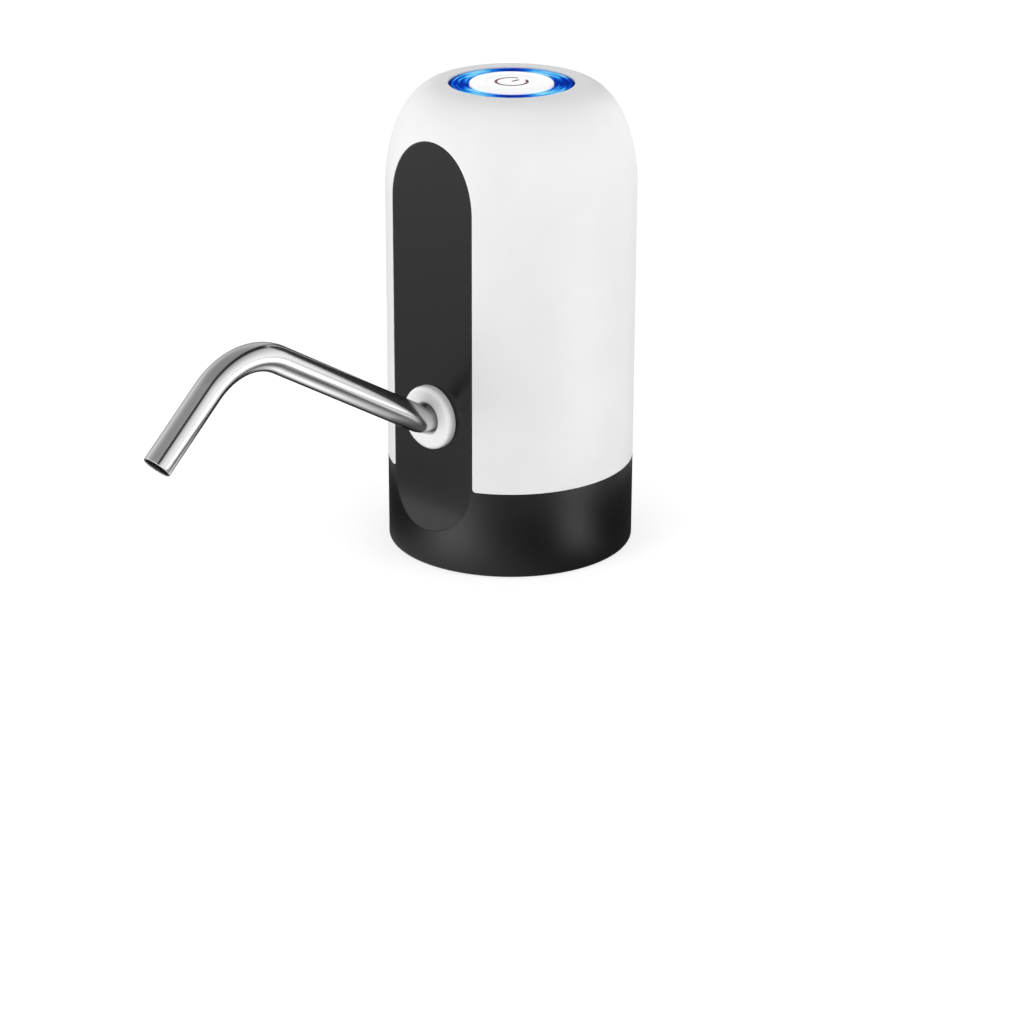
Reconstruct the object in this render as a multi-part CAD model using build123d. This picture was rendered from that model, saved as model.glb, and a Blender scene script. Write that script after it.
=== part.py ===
from build123d import *
import os
from math import acos, cos, degrees, radians, sin, sqrt

# A cordless pump that stands on the neck of a water bottle and pours through a bent steel spout.
# Millimetres, +Z up. The origin is the centre of the neck socket's mouth, in the underside, and the
# flat front with the spout faces -Y.

# Housing outline
body_radius = 36.0
body_height = 136.8
band_height = 25.7
shoulder_rise = 29.9
rim_width = 2.05
facet_depth = 3.5
scoop_radius = 38.0
scoop_start = 27.0
base_round = 0.8
shell_corner = 1.0

# Housing walls
shell_wall = 2.0
band_wall = 2.0
panel_thickness = 1.6
flange_thickness = 2.2
deck_thickness = 2.5
lip_wall = 1.5
lip_rise = 4.3

# Clearances, and how far a cut runs past the face that it cuts
seat_gap = 0.05
running_gap = 0.04
button_gap = 0.25
key_gap = 0.1
cut_overrun = 1.0

# Socket that takes the bottle's neck
neck_bore = 27.8
socket_wall = 2.0
socket_depth = 20.0
ceiling_thickness = 2.5
guide_depth = 7.0
grip_height = 10.0
grip_groove = 1.2
grip_recess = 0.4
grip_bite = 0.6
grip_rib_height = 1.6
grip_rib_count = 3

# Nipple for the suction hose
nipple_radius = 4.25
nipple_bore = 2.75
nipple_reach = 12.0
nipple_chamfer = 0.6
nipple_hole = 6.5

# Inner hoses and the barbs that they are pushed over
barb_radius = 2.7
barb_bore = 1.5
barb_ridge = 0.3
barb_length = 8.0
inlet_barb_length = 8.5
ridge_shares = (0.35, 0.65)
ridge_length_share = 0.25
hose_wall = 1.2
hose_margin = 0.8

# Outlet socket behind the flat front
spout_height = 45.0
outlet_bore = 6.1
outlet_wall = 1.9
outlet_length = 15.9
outlet_end = 2.0
elbow_wall = 1.4
elbow_rise = 6.0

# Collar and plug of the spout
collar_radius = 9.3
collar_depth = 3.0
collar_round = 1.4
flare_depth = 1.5
flare_growth = 0.85
spigot_length = 12.0
seal_floor = 4.8
seal_width = 1.5
seal_shares = (0.42, 0.76)

# Bent steel spout
tube_radius = 4.0
tube_wall = 0.5
tube_inset = 1.0
heel_reach = 4.5
heel_radius = 9.0
rise_angle = 30.5
rise_length = 78.9
drop_angle = 41.3
drop_length = 40.6
bend_radius = 22.0

# Diaphragm pump
pump_x = -7.0
pump_y = -9.0
pump_low = 62.0
pump_radius = 13.5
head_height = 5.0
head_wall = 1.8
port_spacing = 7.0
valve_plate_height = 2.5
valve_hole = 0.7
valve_rim = 0.3
valve_hole_count = 4
valve_stem = 0.8
valve_cap = 2.9
valve_cap_height = 0.7
diaphragm_sheet = 1.5
cup_margin = 2.0
cup_radius = 4.2
cup_wall = 0.7
cup_height = 3.2
stem_radius = 1.6
crank_height = 15.0
crank_wall = 1.2
chamber_count = 3
chamber_angle = 30.0

# Wobble plate and the crank that drives it
pivot_rise = 2.5
wobble_tilt = 7.5
wobble_offset = 4.8
wobble_thickness = 1.4
hub_radius = 3.4
arm_width = 4.4
arm_reach = 9.2
stem_gap = 0.35
pin_radius = 1.0
pin_length = 10.6
crank_low = 80.6
crank_disc_height = 3.0
crank_disc_radius = 5.0
shaft_bite_share = 0.3

# Motor
motor_radius = 12.2
motor_length = 29.0
can_wall = 1.0
can_floor = 1.2
boss_radius = 3.0
boss_height = 1.8
shaft_radius = 1.0
shaft_tail = 1.0
magnet_wall = 2.8
magnet_angle = 130.0
magnet_rise = 4.0
magnet_height = 19.0
armature_gap = 0.5
armature_rise = 6.0
armature_height = 14.0
armature_slot = 1.6
slot_depth = 4.6
commutator_radius = 2.6
commutator_height = 3.4
end_cap_height = 2.7
brush_width = 2.0
brush_thickness = 0.6
terminal_width = 2.4
terminal_height = 1.6
terminal_thickness = 0.5
terminal_spacing = 8.4

# Battery cell
battery_x = 16.0
battery_y = 3.8
cell_radius = 9.15
cell_length = 65.0
cap_radius = 3.0
cap_height = 0.6
tab_thickness = 0.3
tab_width = 6.0
cup_rim = 6.0
cup_rim_wall = 1.2
strap_height = 6.0
strap_wall = 0.8
strap_rise = 46.0

# Frame inside the housing
floor_thickness = 2.5
spine_thickness = 2.0
spine_half_width = 23.0
lower_shelf = 3.0
top_shelf = 2.5
top_shelf_margin = 1.4
shelf_below_motor_end = 3.0
shelf_collar = 3.2
cradle_half_width = 5.0
cradle_length = 6.0
cradle_wrap = 3.0
rear_post_radius = 1.8
rear_post_spread = 5.5
standoff_radius = 2.2
standoff_angles = (40.0, 160.0, 320.0)

# Charging board and its socket at the rear
charge_height = 39.0
charge_board_thickness = 1.0
charge_board_half = 8.0
charge_board_length = 15.0
charge_board_margin = 1.0
port_width = 7.5
port_height = 2.7
port_depth = 5.6
port_wall = 0.3
port_recess = 1.0
port_tongue = 0.6
port_slot_gap = 0.4

# Control board, switch and lights
board_drop = 14.8
board_thickness = 1.2
board_margin = 0.2
switch_half = 3.0
switch_height = 3.5
plunger_radius = 1.7
plunger_rise = 1.0
plunger_depth = 2.2
led_count = 8
led_margin = 0.95
led_length = 3.0
led_width = 2.4
led_height = 1.5

# Light ring and button
ring_radius = 17.95
ring_width = 5.95
ring_recess = 0.5
ring_flange = 1.6
ring_flange_height = 1.8
ring_skirt_wall = 2.4
ring_top_height = 3.3
ring_round = 0.6
button_proud = 0.2
button_crown = 0.3
button_round = 0.5
button_wall = 1.3
button_flange = 1.1
button_flange_height = 1.4
button_stem = 2.4
dish_radius = 6.6
dish_slope = 0.5
dish_depth = 0.15

# Screws
base_screw_margin = 3.1
base_screw_count = 4
base_screw_radius = 1.4
base_screw_head = 2.7
base_screw_head_height = 1.8
base_screw_length = 11.0
base_boss_radius = 3.0
base_boss_rise = 5.0
board_screw_radius = 1.0
board_screw_head = 1.8
board_screw_head_height = 1.3
board_screw_margin = 0.45
board_screw_length = 6.0
pump_screw_radius = 0.8
pump_screw_head = 1.4
pump_screw_head_height = 1.0
pump_screw_margin = 0.1
pump_screw_count = 3
pump_screw_bite = 6.0
pump_screw_wall = 0.7
slot_width_share = 0.3
slot_depth_share = 0.45

# Leads
lead_radius = 0.6
lead_bend = 2.5
lead_spacing = 1.8
lead_gap = 1.6

# Sizes worked out from the ones above
shell_inner = body_radius - shell_wall
facet_offset = body_radius - facet_depth
rim_radius = ring_radius + rim_width
panel_back = facet_offset - panel_thickness
spout_heel = facet_offset + heel_reach
front_wall_back = panel_back - seat_gap - shell_wall
socket_outer = neck_bore + socket_wall
base_screw_circle = neck_bore - base_screw_head - base_screw_margin
deck_low = socket_depth + ceiling_thickness
deck_top = deck_low + deck_thickness
floor_top = deck_top + floor_thickness
lip_outer = shell_inner - seat_gap
lip_inner = lip_outer - lip_wall
hose_bore = barb_radius + barb_ridge + seat_gap
hose_radius = hose_bore + hose_wall
outlet_outer = outlet_bore + outlet_wall
outlet_back = panel_back - outlet_length
elbow_radius = barb_bore + elbow_wall
spigot_radius = outlet_bore - key_gap
pump_screw_circle = pump_radius - pump_screw_head - pump_screw_margin
cup_circle = pump_radius - cup_radius - cup_margin
valve_hole_circle = valve_cap - valve_hole - valve_rim
plate_low = pump_low + head_height
sheet_low = plate_low + valve_plate_height
crank_case_low = sheet_low + diaphragm_sheet
motor_low = crank_case_low + crank_height
motor_top = motor_low + motor_length
pivot_height = sheet_low + pivot_rise
tilt_sine = sin(radians(wobble_tilt))
tilt_cosine = cos(radians(wobble_tilt))
magnet_outer = motor_radius - can_wall
armature_radius = magnet_outer - magnet_wall - armature_gap
armature_low = motor_low + armature_rise
cell_low = floor_top + tab_thickness + seat_gap
cell_top = cell_low + cell_length
spine_front = battery_y + cell_radius + seat_gap
spine_back = spine_front + spine_thickness
upper_shelf_low = motor_top - shelf_below_motor_end
upper_shelf_top = upper_shelf_low + top_shelf
standoff_circle = ring_radius + board_screw_head + board_screw_margin
board_radius = standoff_circle + standoff_radius + board_margin
top_shelf_radius = board_radius + top_shelf_margin
board_low = body_height - board_drop
board_top = board_low + board_thickness
switch_top = board_top + switch_height
plunger_top = switch_top + plunger_rise
ring_top = body_height - ring_recess
ring_step = ring_top - ring_top_height
ring_skirt_inner = ring_radius - ring_skirt_wall
led_circle = ring_skirt_inner - led_width / 2 - led_margin
button_radius = ring_radius - ring_width
ring_inner = button_radius + button_gap
button_top = body_height + button_proud
flange_top = ring_step - seat_gap
flange_low = flange_top - button_flange_height
outlet_port = (pump_x + port_spacing, pump_y)
inlet_port = (pump_x - port_spacing, pump_y)
pump_centre = (pump_x, pump_y)


def disc(radius, low, high, at=(0, 0)):
    """Upright cylinder between two heights."""
    x, y = at
    return Pos(x, y, low) * extrude(Circle(radius), amount=high - low)


def ring(outer, inner, low, high, at=(0, 0)):
    """Upright round wall between two heights."""
    x, y = at
    return Pos(x, y, low) * extrude(Circle(outer) - Circle(inner), amount=high - low)


def slab(x_span, y_span, z_span):
    """Block between three pairs of limits."""
    corner = Pos(x_span[0], y_span[0], z_span[0])
    size = [span[1] - span[0] for span in (x_span, y_span, z_span)]
    return corner * Box(*size, align=(Align.MIN, Align.MIN, Align.MIN))


def rod_between(start, end, radius):
    """Cylinder from one point to another."""
    way = Vector(*end) - Vector(*start)
    return Plane(origin=start, z_dir=way) * extrude(Circle(radius), amount=way.length)


def barrel(radius, front, back, height=spout_height):
    """Cylinder along Y between two distances in front of the axis."""
    return rod_between((0, -front, height), (0, -back, height), radius)


def tube_along(route, outer, inner=0):
    """Round tube or wire along a route."""
    section = Circle(outer) - Circle(inner) if inner else Circle(outer)
    return sweep(Plane(origin=route @ 0, z_dir=route % 0) * section, path=route)


def drilled(solid, places, radius, low, high):
    """Solid with an upright hole at each place, run past both heights."""
    for place in places:
        solid -= disc(radius, low - cut_overrun, high + cut_overrun, place)
    return solid


def turned(points, at=(0, 0)):
    """Solid turned about an upright axis from (radius, height) points."""
    x, y = at
    outline = make_face(Polyline(*points, close=True))
    return Pos(x, y, 0) * revolve(Plane.XZ * outline, Axis.Z)


def turned_across(points, height):
    """Solid turned about a line along Y from (radius, y) points."""
    outline = make_face(Polyline(*points, close=True))
    return Pos(0, 0, height) * revolve(outline, Axis.Y)


def polar(radius, angle, centre=(0, 0)):
    """Point at a radius and an angle in degrees round a centre."""
    turn = radians(angle)
    return (centre[0] + radius * cos(turn), centre[1] + radius * sin(turn))


def domed(radius, low, shoulder_width, shoulder_height, height):
    """Round body with a straight wall, an elliptical shoulder and a flat top."""
    spring = height - shoulder_height
    rim = radius - shoulder_width
    shoulder = EllipticalCenterArc((rim, spring), shoulder_width, shoulder_height, 0, arc_size=90)
    wall = Line((radius, low), (radius, spring))
    rest = Polyline((rim, height), (0, height), (0, low), (radius, low))
    return revolve(Plane.XZ * make_face(wall + shoulder + rest), Axis.Z)


def outer_form(low):
    """Outside of the whole housing above a height."""
    return domed(body_radius, low, body_radius - rim_radius, shoulder_rise, body_height)


def in_front_of(distance):
    """All that lies more than a distance in front of the axis."""
    reach = body_radius + cut_overrun
    return slab((-reach, reach), (-reach, -distance), (-cut_overrun, body_height + cut_overrun))


def arch_plate(thickness):
    """Arch-shaped plate: the flat front, which the dome rounds off at its top, made inwards."""
    cut_body = outer_form(0) - in_front_of(facet_offset)
    flat_front = cut_body.faces().sort_by(Axis.Y)[0]
    return extrude(flat_front, amount=thickness, dir=(0, 1, 0))


def scoop_cutter():
    """Space in front of the flat face, which sweeps out to the band near its foot."""
    reach = body_radius + cut_overrun
    top = body_height + cut_overrun
    centre_y = facet_offset + scoop_radius
    fall = degrees(acos((centre_y - reach) / scoop_radius))
    foot = scoop_start - scoop_radius * sin(radians(fall))
    sweep_arc = CenterArc((-centre_y, scoop_start), scoop_radius, 0, -fall)
    sides = Polyline((-reach, foot), (-centre_y, foot), (-centre_y, top), (-facet_offset, top),
                     (-facet_offset, scoop_start))
    return extrude(Plane.YZ * make_face(sweep_arc + sides), amount=reach, both=True)


def base_screw_places():
    """Places of the four screws that hold the base together."""
    step = 360 / base_screw_count
    return [polar(base_screw_circle, step * (n + 1 / 2)) for n in range(base_screw_count)]


def board_screw_places():
    """Places of the screws that hold the control board."""
    return [polar(standoff_circle, angle) for angle in standoff_angles]


def pump_screw_places():
    """Places of the long screws through the pump's head, between its chambers."""
    step = 360 / pump_screw_count
    return [polar(pump_screw_circle, chamber_angle + step * (n + 1 / 2), pump_centre)
            for n in range(pump_screw_count)]


def chamber_places():
    """Centres of the pump's chambers."""
    step = 360 / chamber_count
    return [polar(cup_circle, chamber_angle + step * n, pump_centre) for n in range(chamber_count)]


def port_slot():
    """Slot in the rear wall for the charging socket."""
    half = port_width / 2 + port_slot_gap
    low = charge_height + charge_board_thickness - port_slot_gap
    high = charge_height + charge_board_thickness + port_height + port_slot_gap
    return slab((-half, half), (shell_inner - cut_overrun, body_radius + cut_overrun), (low, high))


def upper_shell():
    """White shell: straight wall, domed shoulder, and a recess behind the flat front."""
    solid = outer_form(band_height) - in_front_of(facet_offset)
    inside = domed(shell_inner, band_height - cut_overrun, shell_inner - rim_radius,
                   shoulder_rise - shell_wall, body_height - shell_wall)
    shell = solid - (inside - in_front_of(front_wall_back))
    shell -= arch_plate(panel_thickness + seat_gap)
    shell -= disc(ring_radius + seat_gap, body_height - shell_wall - cut_overrun, body_height + cut_overrun)
    shell -= barrel(outlet_outer + seat_gap, facet_offset + cut_overrun, front_wall_back - cut_overrun)
    shell -= port_slot()
    half = sqrt(body_radius ** 2 - facet_offset ** 2)
    for side in (-1, 1):
        corner = Rectangle(2 * shell_corner, 2 * shell_corner)
        corner -= Pos(side * shell_corner, shell_corner) * Circle(shell_corner)
        shell -= Pos(side * half, -panel_back, band_height) * extrude(Plane.XZ * corner, amount=body_radius)
    return shell


def base_housing():
    """Black base: band, foot flange, deck, lip inside the shell, and the panel on the flat front."""
    band_inner = body_radius - band_wall
    base = ring(body_radius, band_inner, 0, band_height)
    base += ring(body_radius, socket_outer + seat_gap, 0, flange_thickness)
    base += ring(band_inner + band_wall / 2, nipple_hole, deck_low, deck_top)
    lip = ring(lip_outer, lip_inner, deck_low, band_height + lip_rise)
    base += lip - in_front_of(front_wall_back - seat_gap)
    base += disc(body_radius, 0, band_height) & in_front_of(panel_back)
    base += arch_plate(panel_thickness)
    base -= scoop_cutter()
    base -= barrel(outlet_bore, body_radius, panel_back - cut_overrun)
    base = drilled(base, base_screw_places(), base_screw_radius + key_gap, deck_low, deck_top)
    foot = base.edges().filter_by(GeomType.CIRCLE).group_by(Axis.Z)[0].sort_by(SortBy.RADIUS)[-1]
    return fillet(foot, base_round)


def neck_socket():
    """Cup for the bottle's neck, with the nipple of the suction hose in its ceiling."""
    groove_top = guide_depth + grip_height
    cup = turned([
        (neck_bore, 0),
        (socket_outer, 0),
        (socket_outer, deck_low),
        (0, deck_low),
        (0, socket_depth),
        (neck_bore, socket_depth),
        (neck_bore, groove_top),
        (neck_bore + grip_groove, groove_top),
        (neck_bore + grip_groove, guide_depth),
        (neck_bore, guide_depth),
    ])
    tip = socket_depth - nipple_reach
    cup += turned([
        (0, socket_depth + ceiling_thickness / 2),
        (nipple_radius, socket_depth + ceiling_thickness / 2),
        (nipple_radius, tip + nipple_chamfer),
        (nipple_radius - nipple_chamfer, tip),
        (0, tip),
    ])
    cup += barb((0, 0), deck_low, deck_low + inlet_barb_length)
    cup -= disc(nipple_bore, tip - cut_overrun, socket_depth + ceiling_thickness / 2)
    cup -= disc(barb_bore, tip, deck_low + inlet_barb_length + cut_overrun)
    return drilled(cup, base_screw_places(), base_screw_radius + key_gap, socket_depth, deck_low)


def neck_grip_ring():
    """Rubber ring in the socket's groove, with ribs that grip the neck and a face set back between them."""
    low = guide_depth + seat_gap
    high = guide_depth + grip_height - seat_gap
    web = grip_groove - grip_recess
    grip = ring(neck_bore + grip_groove - seat_gap, neck_bore + grip_recess, low, high)
    pitch = (high - low) / grip_rib_count
    for n in range(grip_rib_count):
        middle = low + pitch * (n + 1 / 2)
        grip += turned([
            (neck_bore + grip_recess + web / 2, middle - grip_rib_height / 2),
            (neck_bore + grip_recess + web / 2, middle + grip_rib_height / 2),
            (neck_bore - grip_bite, middle + grip_rib_height / 4),
            (neck_bore - grip_bite, middle - grip_rib_height / 4),
        ])
    return grip


def barb(at, root, tip):
    """Ridged hose barb from its root to its tip, above or below it."""
    length = tip - root
    points = [(0, root), (barb_radius, root)]
    for share in ridge_shares:
        points.append((barb_radius, root + share * length))
        points.append((barb_radius + barb_ridge, root + share * length))
        points.append((barb_radius, root + (share + ridge_length_share) * length))
    points.append((barb_radius, tip))
    points.append((0, tip))
    return turned(points, at)


def outlet_socket():
    """Barrel that takes the spout's plug, with an elbow that turns up to the pump."""
    bend = (outlet_port[0], outlet_port[1], spout_height)
    wall_middle = (0, -(outlet_back + outlet_end / 2), spout_height)
    barb_root = spout_height + elbow_rise
    socket = barrel(outlet_outer, panel_back, outlet_back)
    socket += rod_between(wall_middle, bend, elbow_radius)
    socket += Pos(*bend) * Sphere(elbow_radius)
    socket += disc(elbow_radius, spout_height, barb_root, outlet_port)
    socket += barb(outlet_port, barb_root, outlet_barb_top())
    socket -= barrel(outlet_bore, panel_back + cut_overrun, outlet_back + outlet_end)
    socket -= rod_between((0, -(outlet_back + outlet_end + cut_overrun), spout_height), bend, barb_bore)
    socket -= Pos(*bend) * Sphere(barb_bore)
    socket -= disc(barb_bore, spout_height, pump_low, outlet_port)
    return socket


def outlet_barb_top():
    """Height of the elbow's barb, half-way up to the pump's head."""
    return (spout_height + elbow_rise + pump_low) / 2 - hose_margin


def outlet_hose():
    """Short straight hose from the elbow up to the pump's outlet."""
    low = spout_height + elbow_rise + seat_gap
    return ring(hose_radius, hose_bore, low, pump_low - seat_gap, outlet_port)


def inlet_hose():
    """Hose from the socket's barb, bent over to the pump's inlet."""
    start = deck_low + inlet_barb_length / 2
    lower = deck_low + inlet_barb_length
    upper = pump_low - barb_length
    rise = (upper - lower) / 4
    route = FilletPolyline(
        (0, 0, start),
        (0, 0, lower + rise),
        (*inlet_port, upper - rise),
        (*inlet_port, pump_low - seat_gap),
        radius=hose_radius * 2,
    )
    return tube_along(route, hose_radius, hose_bore)


def spout_collar():
    """White collar on the flat front, with the plug that goes into the outlet socket."""
    back = -(facet_offset + seat_gap)
    front = -(facet_offset + collar_depth)
    end = -(facet_offset - spigot_length)
    stop = end - tube_inset
    bore = tube_radius + running_gap
    face = collar_radius - collar_round
    outline = Polyline((face, front), (bore + flare_growth, front), (bore, front + flare_depth), (bore, stop),
                       (tube_radius - tube_wall, stop), (tube_radius - tube_wall, end), (spigot_radius, end),
                       (spigot_radius, back), (collar_radius, back), (collar_radius, front + collar_round))
    edge = RadiusArc((collar_radius, front + collar_round), (face, front), collar_round)
    collar = Pos(0, 0, spout_height) * revolve(make_face(outline + edge), Axis.Y)
    for share in seal_shares:
        middle = back + share * spigot_length
        groove = turned_across([
            (seal_floor, middle - seal_width / 2),
            (outlet_bore + cut_overrun, middle - seal_width / 2),
            (outlet_bore + cut_overrun, middle + seal_width / 2),
            (seal_floor, middle + seal_width / 2),
        ], spout_height)
        collar -= groove
    return collar


def collar_seals():
    """Two rubber rings in the plug's grooves."""
    section = (outlet_bore - seal_floor) / 2 - seat_gap
    rings = []
    for share in seal_shares:
        middle = -(facet_offset + seat_gap) + share * spigot_length
        seal = Torus(seal_floor + seat_gap + section, section)
        rings.append(Pos(0, middle, spout_height) * Rot(90, 0, 0) * seal)
    return rings


def spout_route():
    """Centre line of the spout: into the plug, a slight heel, a long rise and a drop at the end."""
    start = facet_offset - spigot_length + tube_inset + seat_gap
    rise = radians(rise_angle)
    drop = radians(drop_angle)
    top = (spout_heel + rise_length * cos(rise), spout_height + rise_length * sin(rise))
    tip = (top[0] + drop_length * cos(drop), top[1] - drop_length * sin(drop))
    return FilletPolyline(
        (0, -start, spout_height),
        (0, -spout_heel, spout_height),
        (0, -top[0], top[1]),
        (0, -tip[0], tip[1]),
        radius=[heel_radius, bend_radius],
    )


def spout_tube():
    """Thin steel tube bent over at its far end, cut square at the tip."""
    return tube_along(spout_route(), tube_radius, tube_radius - tube_wall)


def head_cover():
    """Cover of the pump's head, with its two hose barbs and the two chambers behind them."""
    cover = disc(pump_radius, pump_low, plate_low, pump_centre)
    chamber = disc(pump_screw_circle - pump_screw_radius - pump_screw_wall, pump_low + head_wall,
                   plate_low + cut_overrun, pump_centre)
    across = (pump_y - pump_radius, pump_y + pump_radius)
    upright = (pump_low, plate_low + cut_overrun)
    chamber -= slab((pump_x - head_wall / 2, pump_x + head_wall / 2), across, upright)
    cover -= chamber
    for port in (outlet_port, inlet_port):
        length = barb_length if port == inlet_port else pump_low - outlet_barb_top() - hose_margin
        cover += barb(port, pump_low + head_wall / 2, pump_low - length)
        cover -= disc(barb_bore, pump_low - length - cut_overrun, pump_low + head_wall + cut_overrun, port)
    return drilled(cover, pump_screw_places(), pump_screw_radius + key_gap, pump_low, plate_low)


def valve_plate():
    """Plate with a stem hole and a ring of small holes for each valve."""
    plate = disc(pump_radius, plate_low, sheet_low, pump_centre)
    plate = drilled(plate, chamber_places(), valve_stem + seat_gap, plate_low, sheet_low)
    step = 360 / valve_hole_count
    for place in chamber_places():
        holes = [polar(valve_hole_circle, step * n, place) for n in range(valve_hole_count)]
        plate = drilled(plate, holes, valve_hole, plate_low, sheet_low)
    return drilled(plate, pump_screw_places(), pump_screw_radius + key_gap, plate_low, sheet_low)


def check_valves():
    """Rubber umbrella valves, one over each group of holes."""
    cap_low = sheet_low + seat_gap
    valves = []
    for place in chamber_places():
        valves.append(turned([
            (0, plate_low + seat_gap),
            (valve_stem, plate_low + seat_gap),
            (valve_stem, cap_low),
            (valve_cap, cap_low),
            (valve_cap - valve_cap_height, cap_low + valve_cap_height),
            (0, cap_low + valve_cap_height),
        ], place))
    return valves


def cup_top(place):
    """Height of a cup's stem, just under the tilted arm that pulls it."""
    lean = tilt_sine * (place[0] - pump_x)
    return pivot_height + (wobble_offset - lean) / tilt_cosine - stem_gap


def diaphragm():
    """Rubber sheet with a moulded cup and a pull stem for each chamber."""
    sheet = disc(pump_radius, sheet_low, crank_case_low, pump_centre)
    for place in chamber_places():
        sheet += disc(cup_radius, crank_case_low - diaphragm_sheet / 2, sheet_low + cup_height, place)
        sheet += disc(stem_radius, sheet_low + cup_height - cup_wall / 2, cup_top(place), place)
    roof = sheet_low + cup_height - cup_wall
    for place in chamber_places():
        sheet -= disc(cup_radius - cup_wall, sheet_low - cut_overrun, roof, place)
    return drilled(sheet, pump_screw_places(), pump_screw_radius + key_gap, sheet_low, crank_case_low)


def crank_case():
    """Open cup between the diaphragm and the motor, with bosses for the long screws."""
    inner = pump_radius - crank_wall
    roof = motor_low - boss_height
    case = disc(pump_radius, crank_case_low, motor_low, pump_centre)
    case -= disc(inner, crank_case_low - cut_overrun, roof, pump_centre)
    boss_top = crank_case_low + pump_screw_bite
    for place in pump_screw_places():
        boss = disc(pump_screw_radius + pump_screw_wall, crank_case_low, boss_top, place)
        case += boss & disc(pump_radius, crank_case_low, motor_low, pump_centre)
    hole_top = boss_top - pump_screw_wall
    for place in pump_screw_places():
        case -= disc(pump_screw_radius + seat_gap, crank_case_low - cut_overrun, hole_top, place)
    case -= disc(boss_radius + seat_gap, roof - cut_overrun, motor_low + cut_overrun, pump_centre)
    return case


def pump_screws():
    """Long screws from the head cover into the crank case."""
    tip = crank_case_low + pump_screw_bite - 2 * pump_screw_wall
    return [screw(place, pump_low, tip, pump_screw_radius, pump_screw_head, pump_screw_head_height)
            for place in pump_screw_places()]


def screw(place, seat, tip, radius, head_radius, head_height):
    """Slotted pan-head screw. It points up if its tip is above its seat, and down if it is below."""
    side = 1 if tip > seat else -1
    head_end = seat - side * head_height
    low, high = sorted((seat, head_end))
    body = disc(head_radius, low, high, place)
    low, high = sorted((seat, tip))
    body += disc(radius, low, high, place)
    floor = head_end + side * slot_depth_share * head_height
    low, high = sorted((floor, head_end - side * cut_overrun))
    half_slot = slot_width_share * head_radius
    body -= slab((place[0] - half_slot, place[0] + half_slot),
                 (place[1] - head_radius, place[1] + head_radius), (low, high))
    return body


def pin_frame():
    """Frame at the pivot with its axis along the tilted pin."""
    return Plane(origin=(pump_x, pump_y, pivot_height), x_dir=(tilt_cosine, 0, -tilt_sine),
                 z_dir=(tilt_sine, 0, tilt_cosine))


def wobble_plate():
    """Three-armed plate on a tilted pin: it rocks as the crank turns, and pulls each cup in turn."""
    top = wobble_offset + wobble_thickness
    plate = disc(hub_radius, wobble_offset, top)
    for n in range(chamber_count):
        arm = slab((0, arm_reach - arm_width / 2), (-arm_width / 2, arm_width / 2), (wobble_offset, top))
        arm += disc(arm_width / 2, wobble_offset, top, (arm_reach - arm_width / 2, 0))
        plate += Rot(0, 0, chamber_angle + 360 / chamber_count * n) * arm
    plate += disc(pin_radius, wobble_offset, pin_length)
    return pin_frame() * plate


def crank_disc():
    """Disc on the motor's shaft with a slanting hole for the wobble plate's pin."""
    high = crank_low + crank_disc_height
    block = disc(crank_disc_radius, crank_low, high, pump_centre)
    block -= pin_frame() * disc(pin_radius + running_gap, 0, pin_length + seat_gap)
    return block - disc(shaft_radius, shaft_low(), high + cut_overrun, pump_centre)


def shaft_low():
    """Lower end of the motor's shaft, in the upper part of the crank disc."""
    return crank_low + crank_disc_height * (1 - shaft_bite_share)


def motor_shaft():
    """Steel shaft through the motor."""
    return disc(shaft_radius, shaft_low(), motor_top - shaft_tail, pump_centre)


def motor_can():
    """Drawn steel can with the front boss and its bearing hole."""
    can = disc(motor_radius, motor_low, motor_top, pump_centre)
    can -= disc(motor_radius - can_wall, motor_low + can_floor, motor_top + cut_overrun, pump_centre)
    can += disc(boss_radius, motor_low - boss_height, motor_low + can_floor, pump_centre)
    return can - disc(shaft_radius + running_gap, motor_low - boss_height - cut_overrun,
                      motor_low + can_floor + cut_overrun, pump_centre)


def motor_magnets():
    """Two curved magnets inside the can."""
    low = motor_low + magnet_rise
    inner = magnet_outer - magnet_wall
    pair = []
    for side in (0, 180):
        arc = ring(magnet_outer - seat_gap, inner, low, low + magnet_height)
        half_angle = magnet_angle / 2
        reach = 2 * motor_radius
        rim = [polar(reach, angle) for angle in (-half_angle, 0, half_angle)]
        wedge = make_face(Polyline((0, 0), *rim, close=True))
        cut = Pos(0, 0, low) * extrude(wedge, amount=magnet_height)
        pair.append(Pos(pump_x, pump_y, 0) * Rot(0, 0, side) * (arc & cut))
    return pair


def motor_rotor():
    """Slotted armature with its commutator, on the shaft."""
    high = armature_low + armature_height
    core = disc(armature_radius, armature_low, high)
    for n in range(chamber_count):
        slot = slab((armature_radius - slot_depth, armature_radius + cut_overrun),
                    (-armature_slot / 2, armature_slot / 2), (armature_low - cut_overrun, high + cut_overrun))
        core -= Rot(0, 0, 360 / chamber_count * n) * slot
    core += disc(commutator_radius, high - cut_overrun, high + commutator_height)
    core -= disc(shaft_radius, armature_low - cut_overrun, motor_top)
    return Pos(pump_x, pump_y, 0) * core


def motor_end_cap():
    """Moulded cap in the can's open end, with the rear bearing hole and two terminals' slots."""
    low = motor_top - end_cap_height
    cap = disc(motor_radius - can_wall - seat_gap, low, motor_top, pump_centre)
    cap -= disc(shaft_radius + running_gap, low - cut_overrun, motor_top + cut_overrun, pump_centre)
    for brush in brush_blades(seat_gap):
        cap -= brush
    return cap


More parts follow.
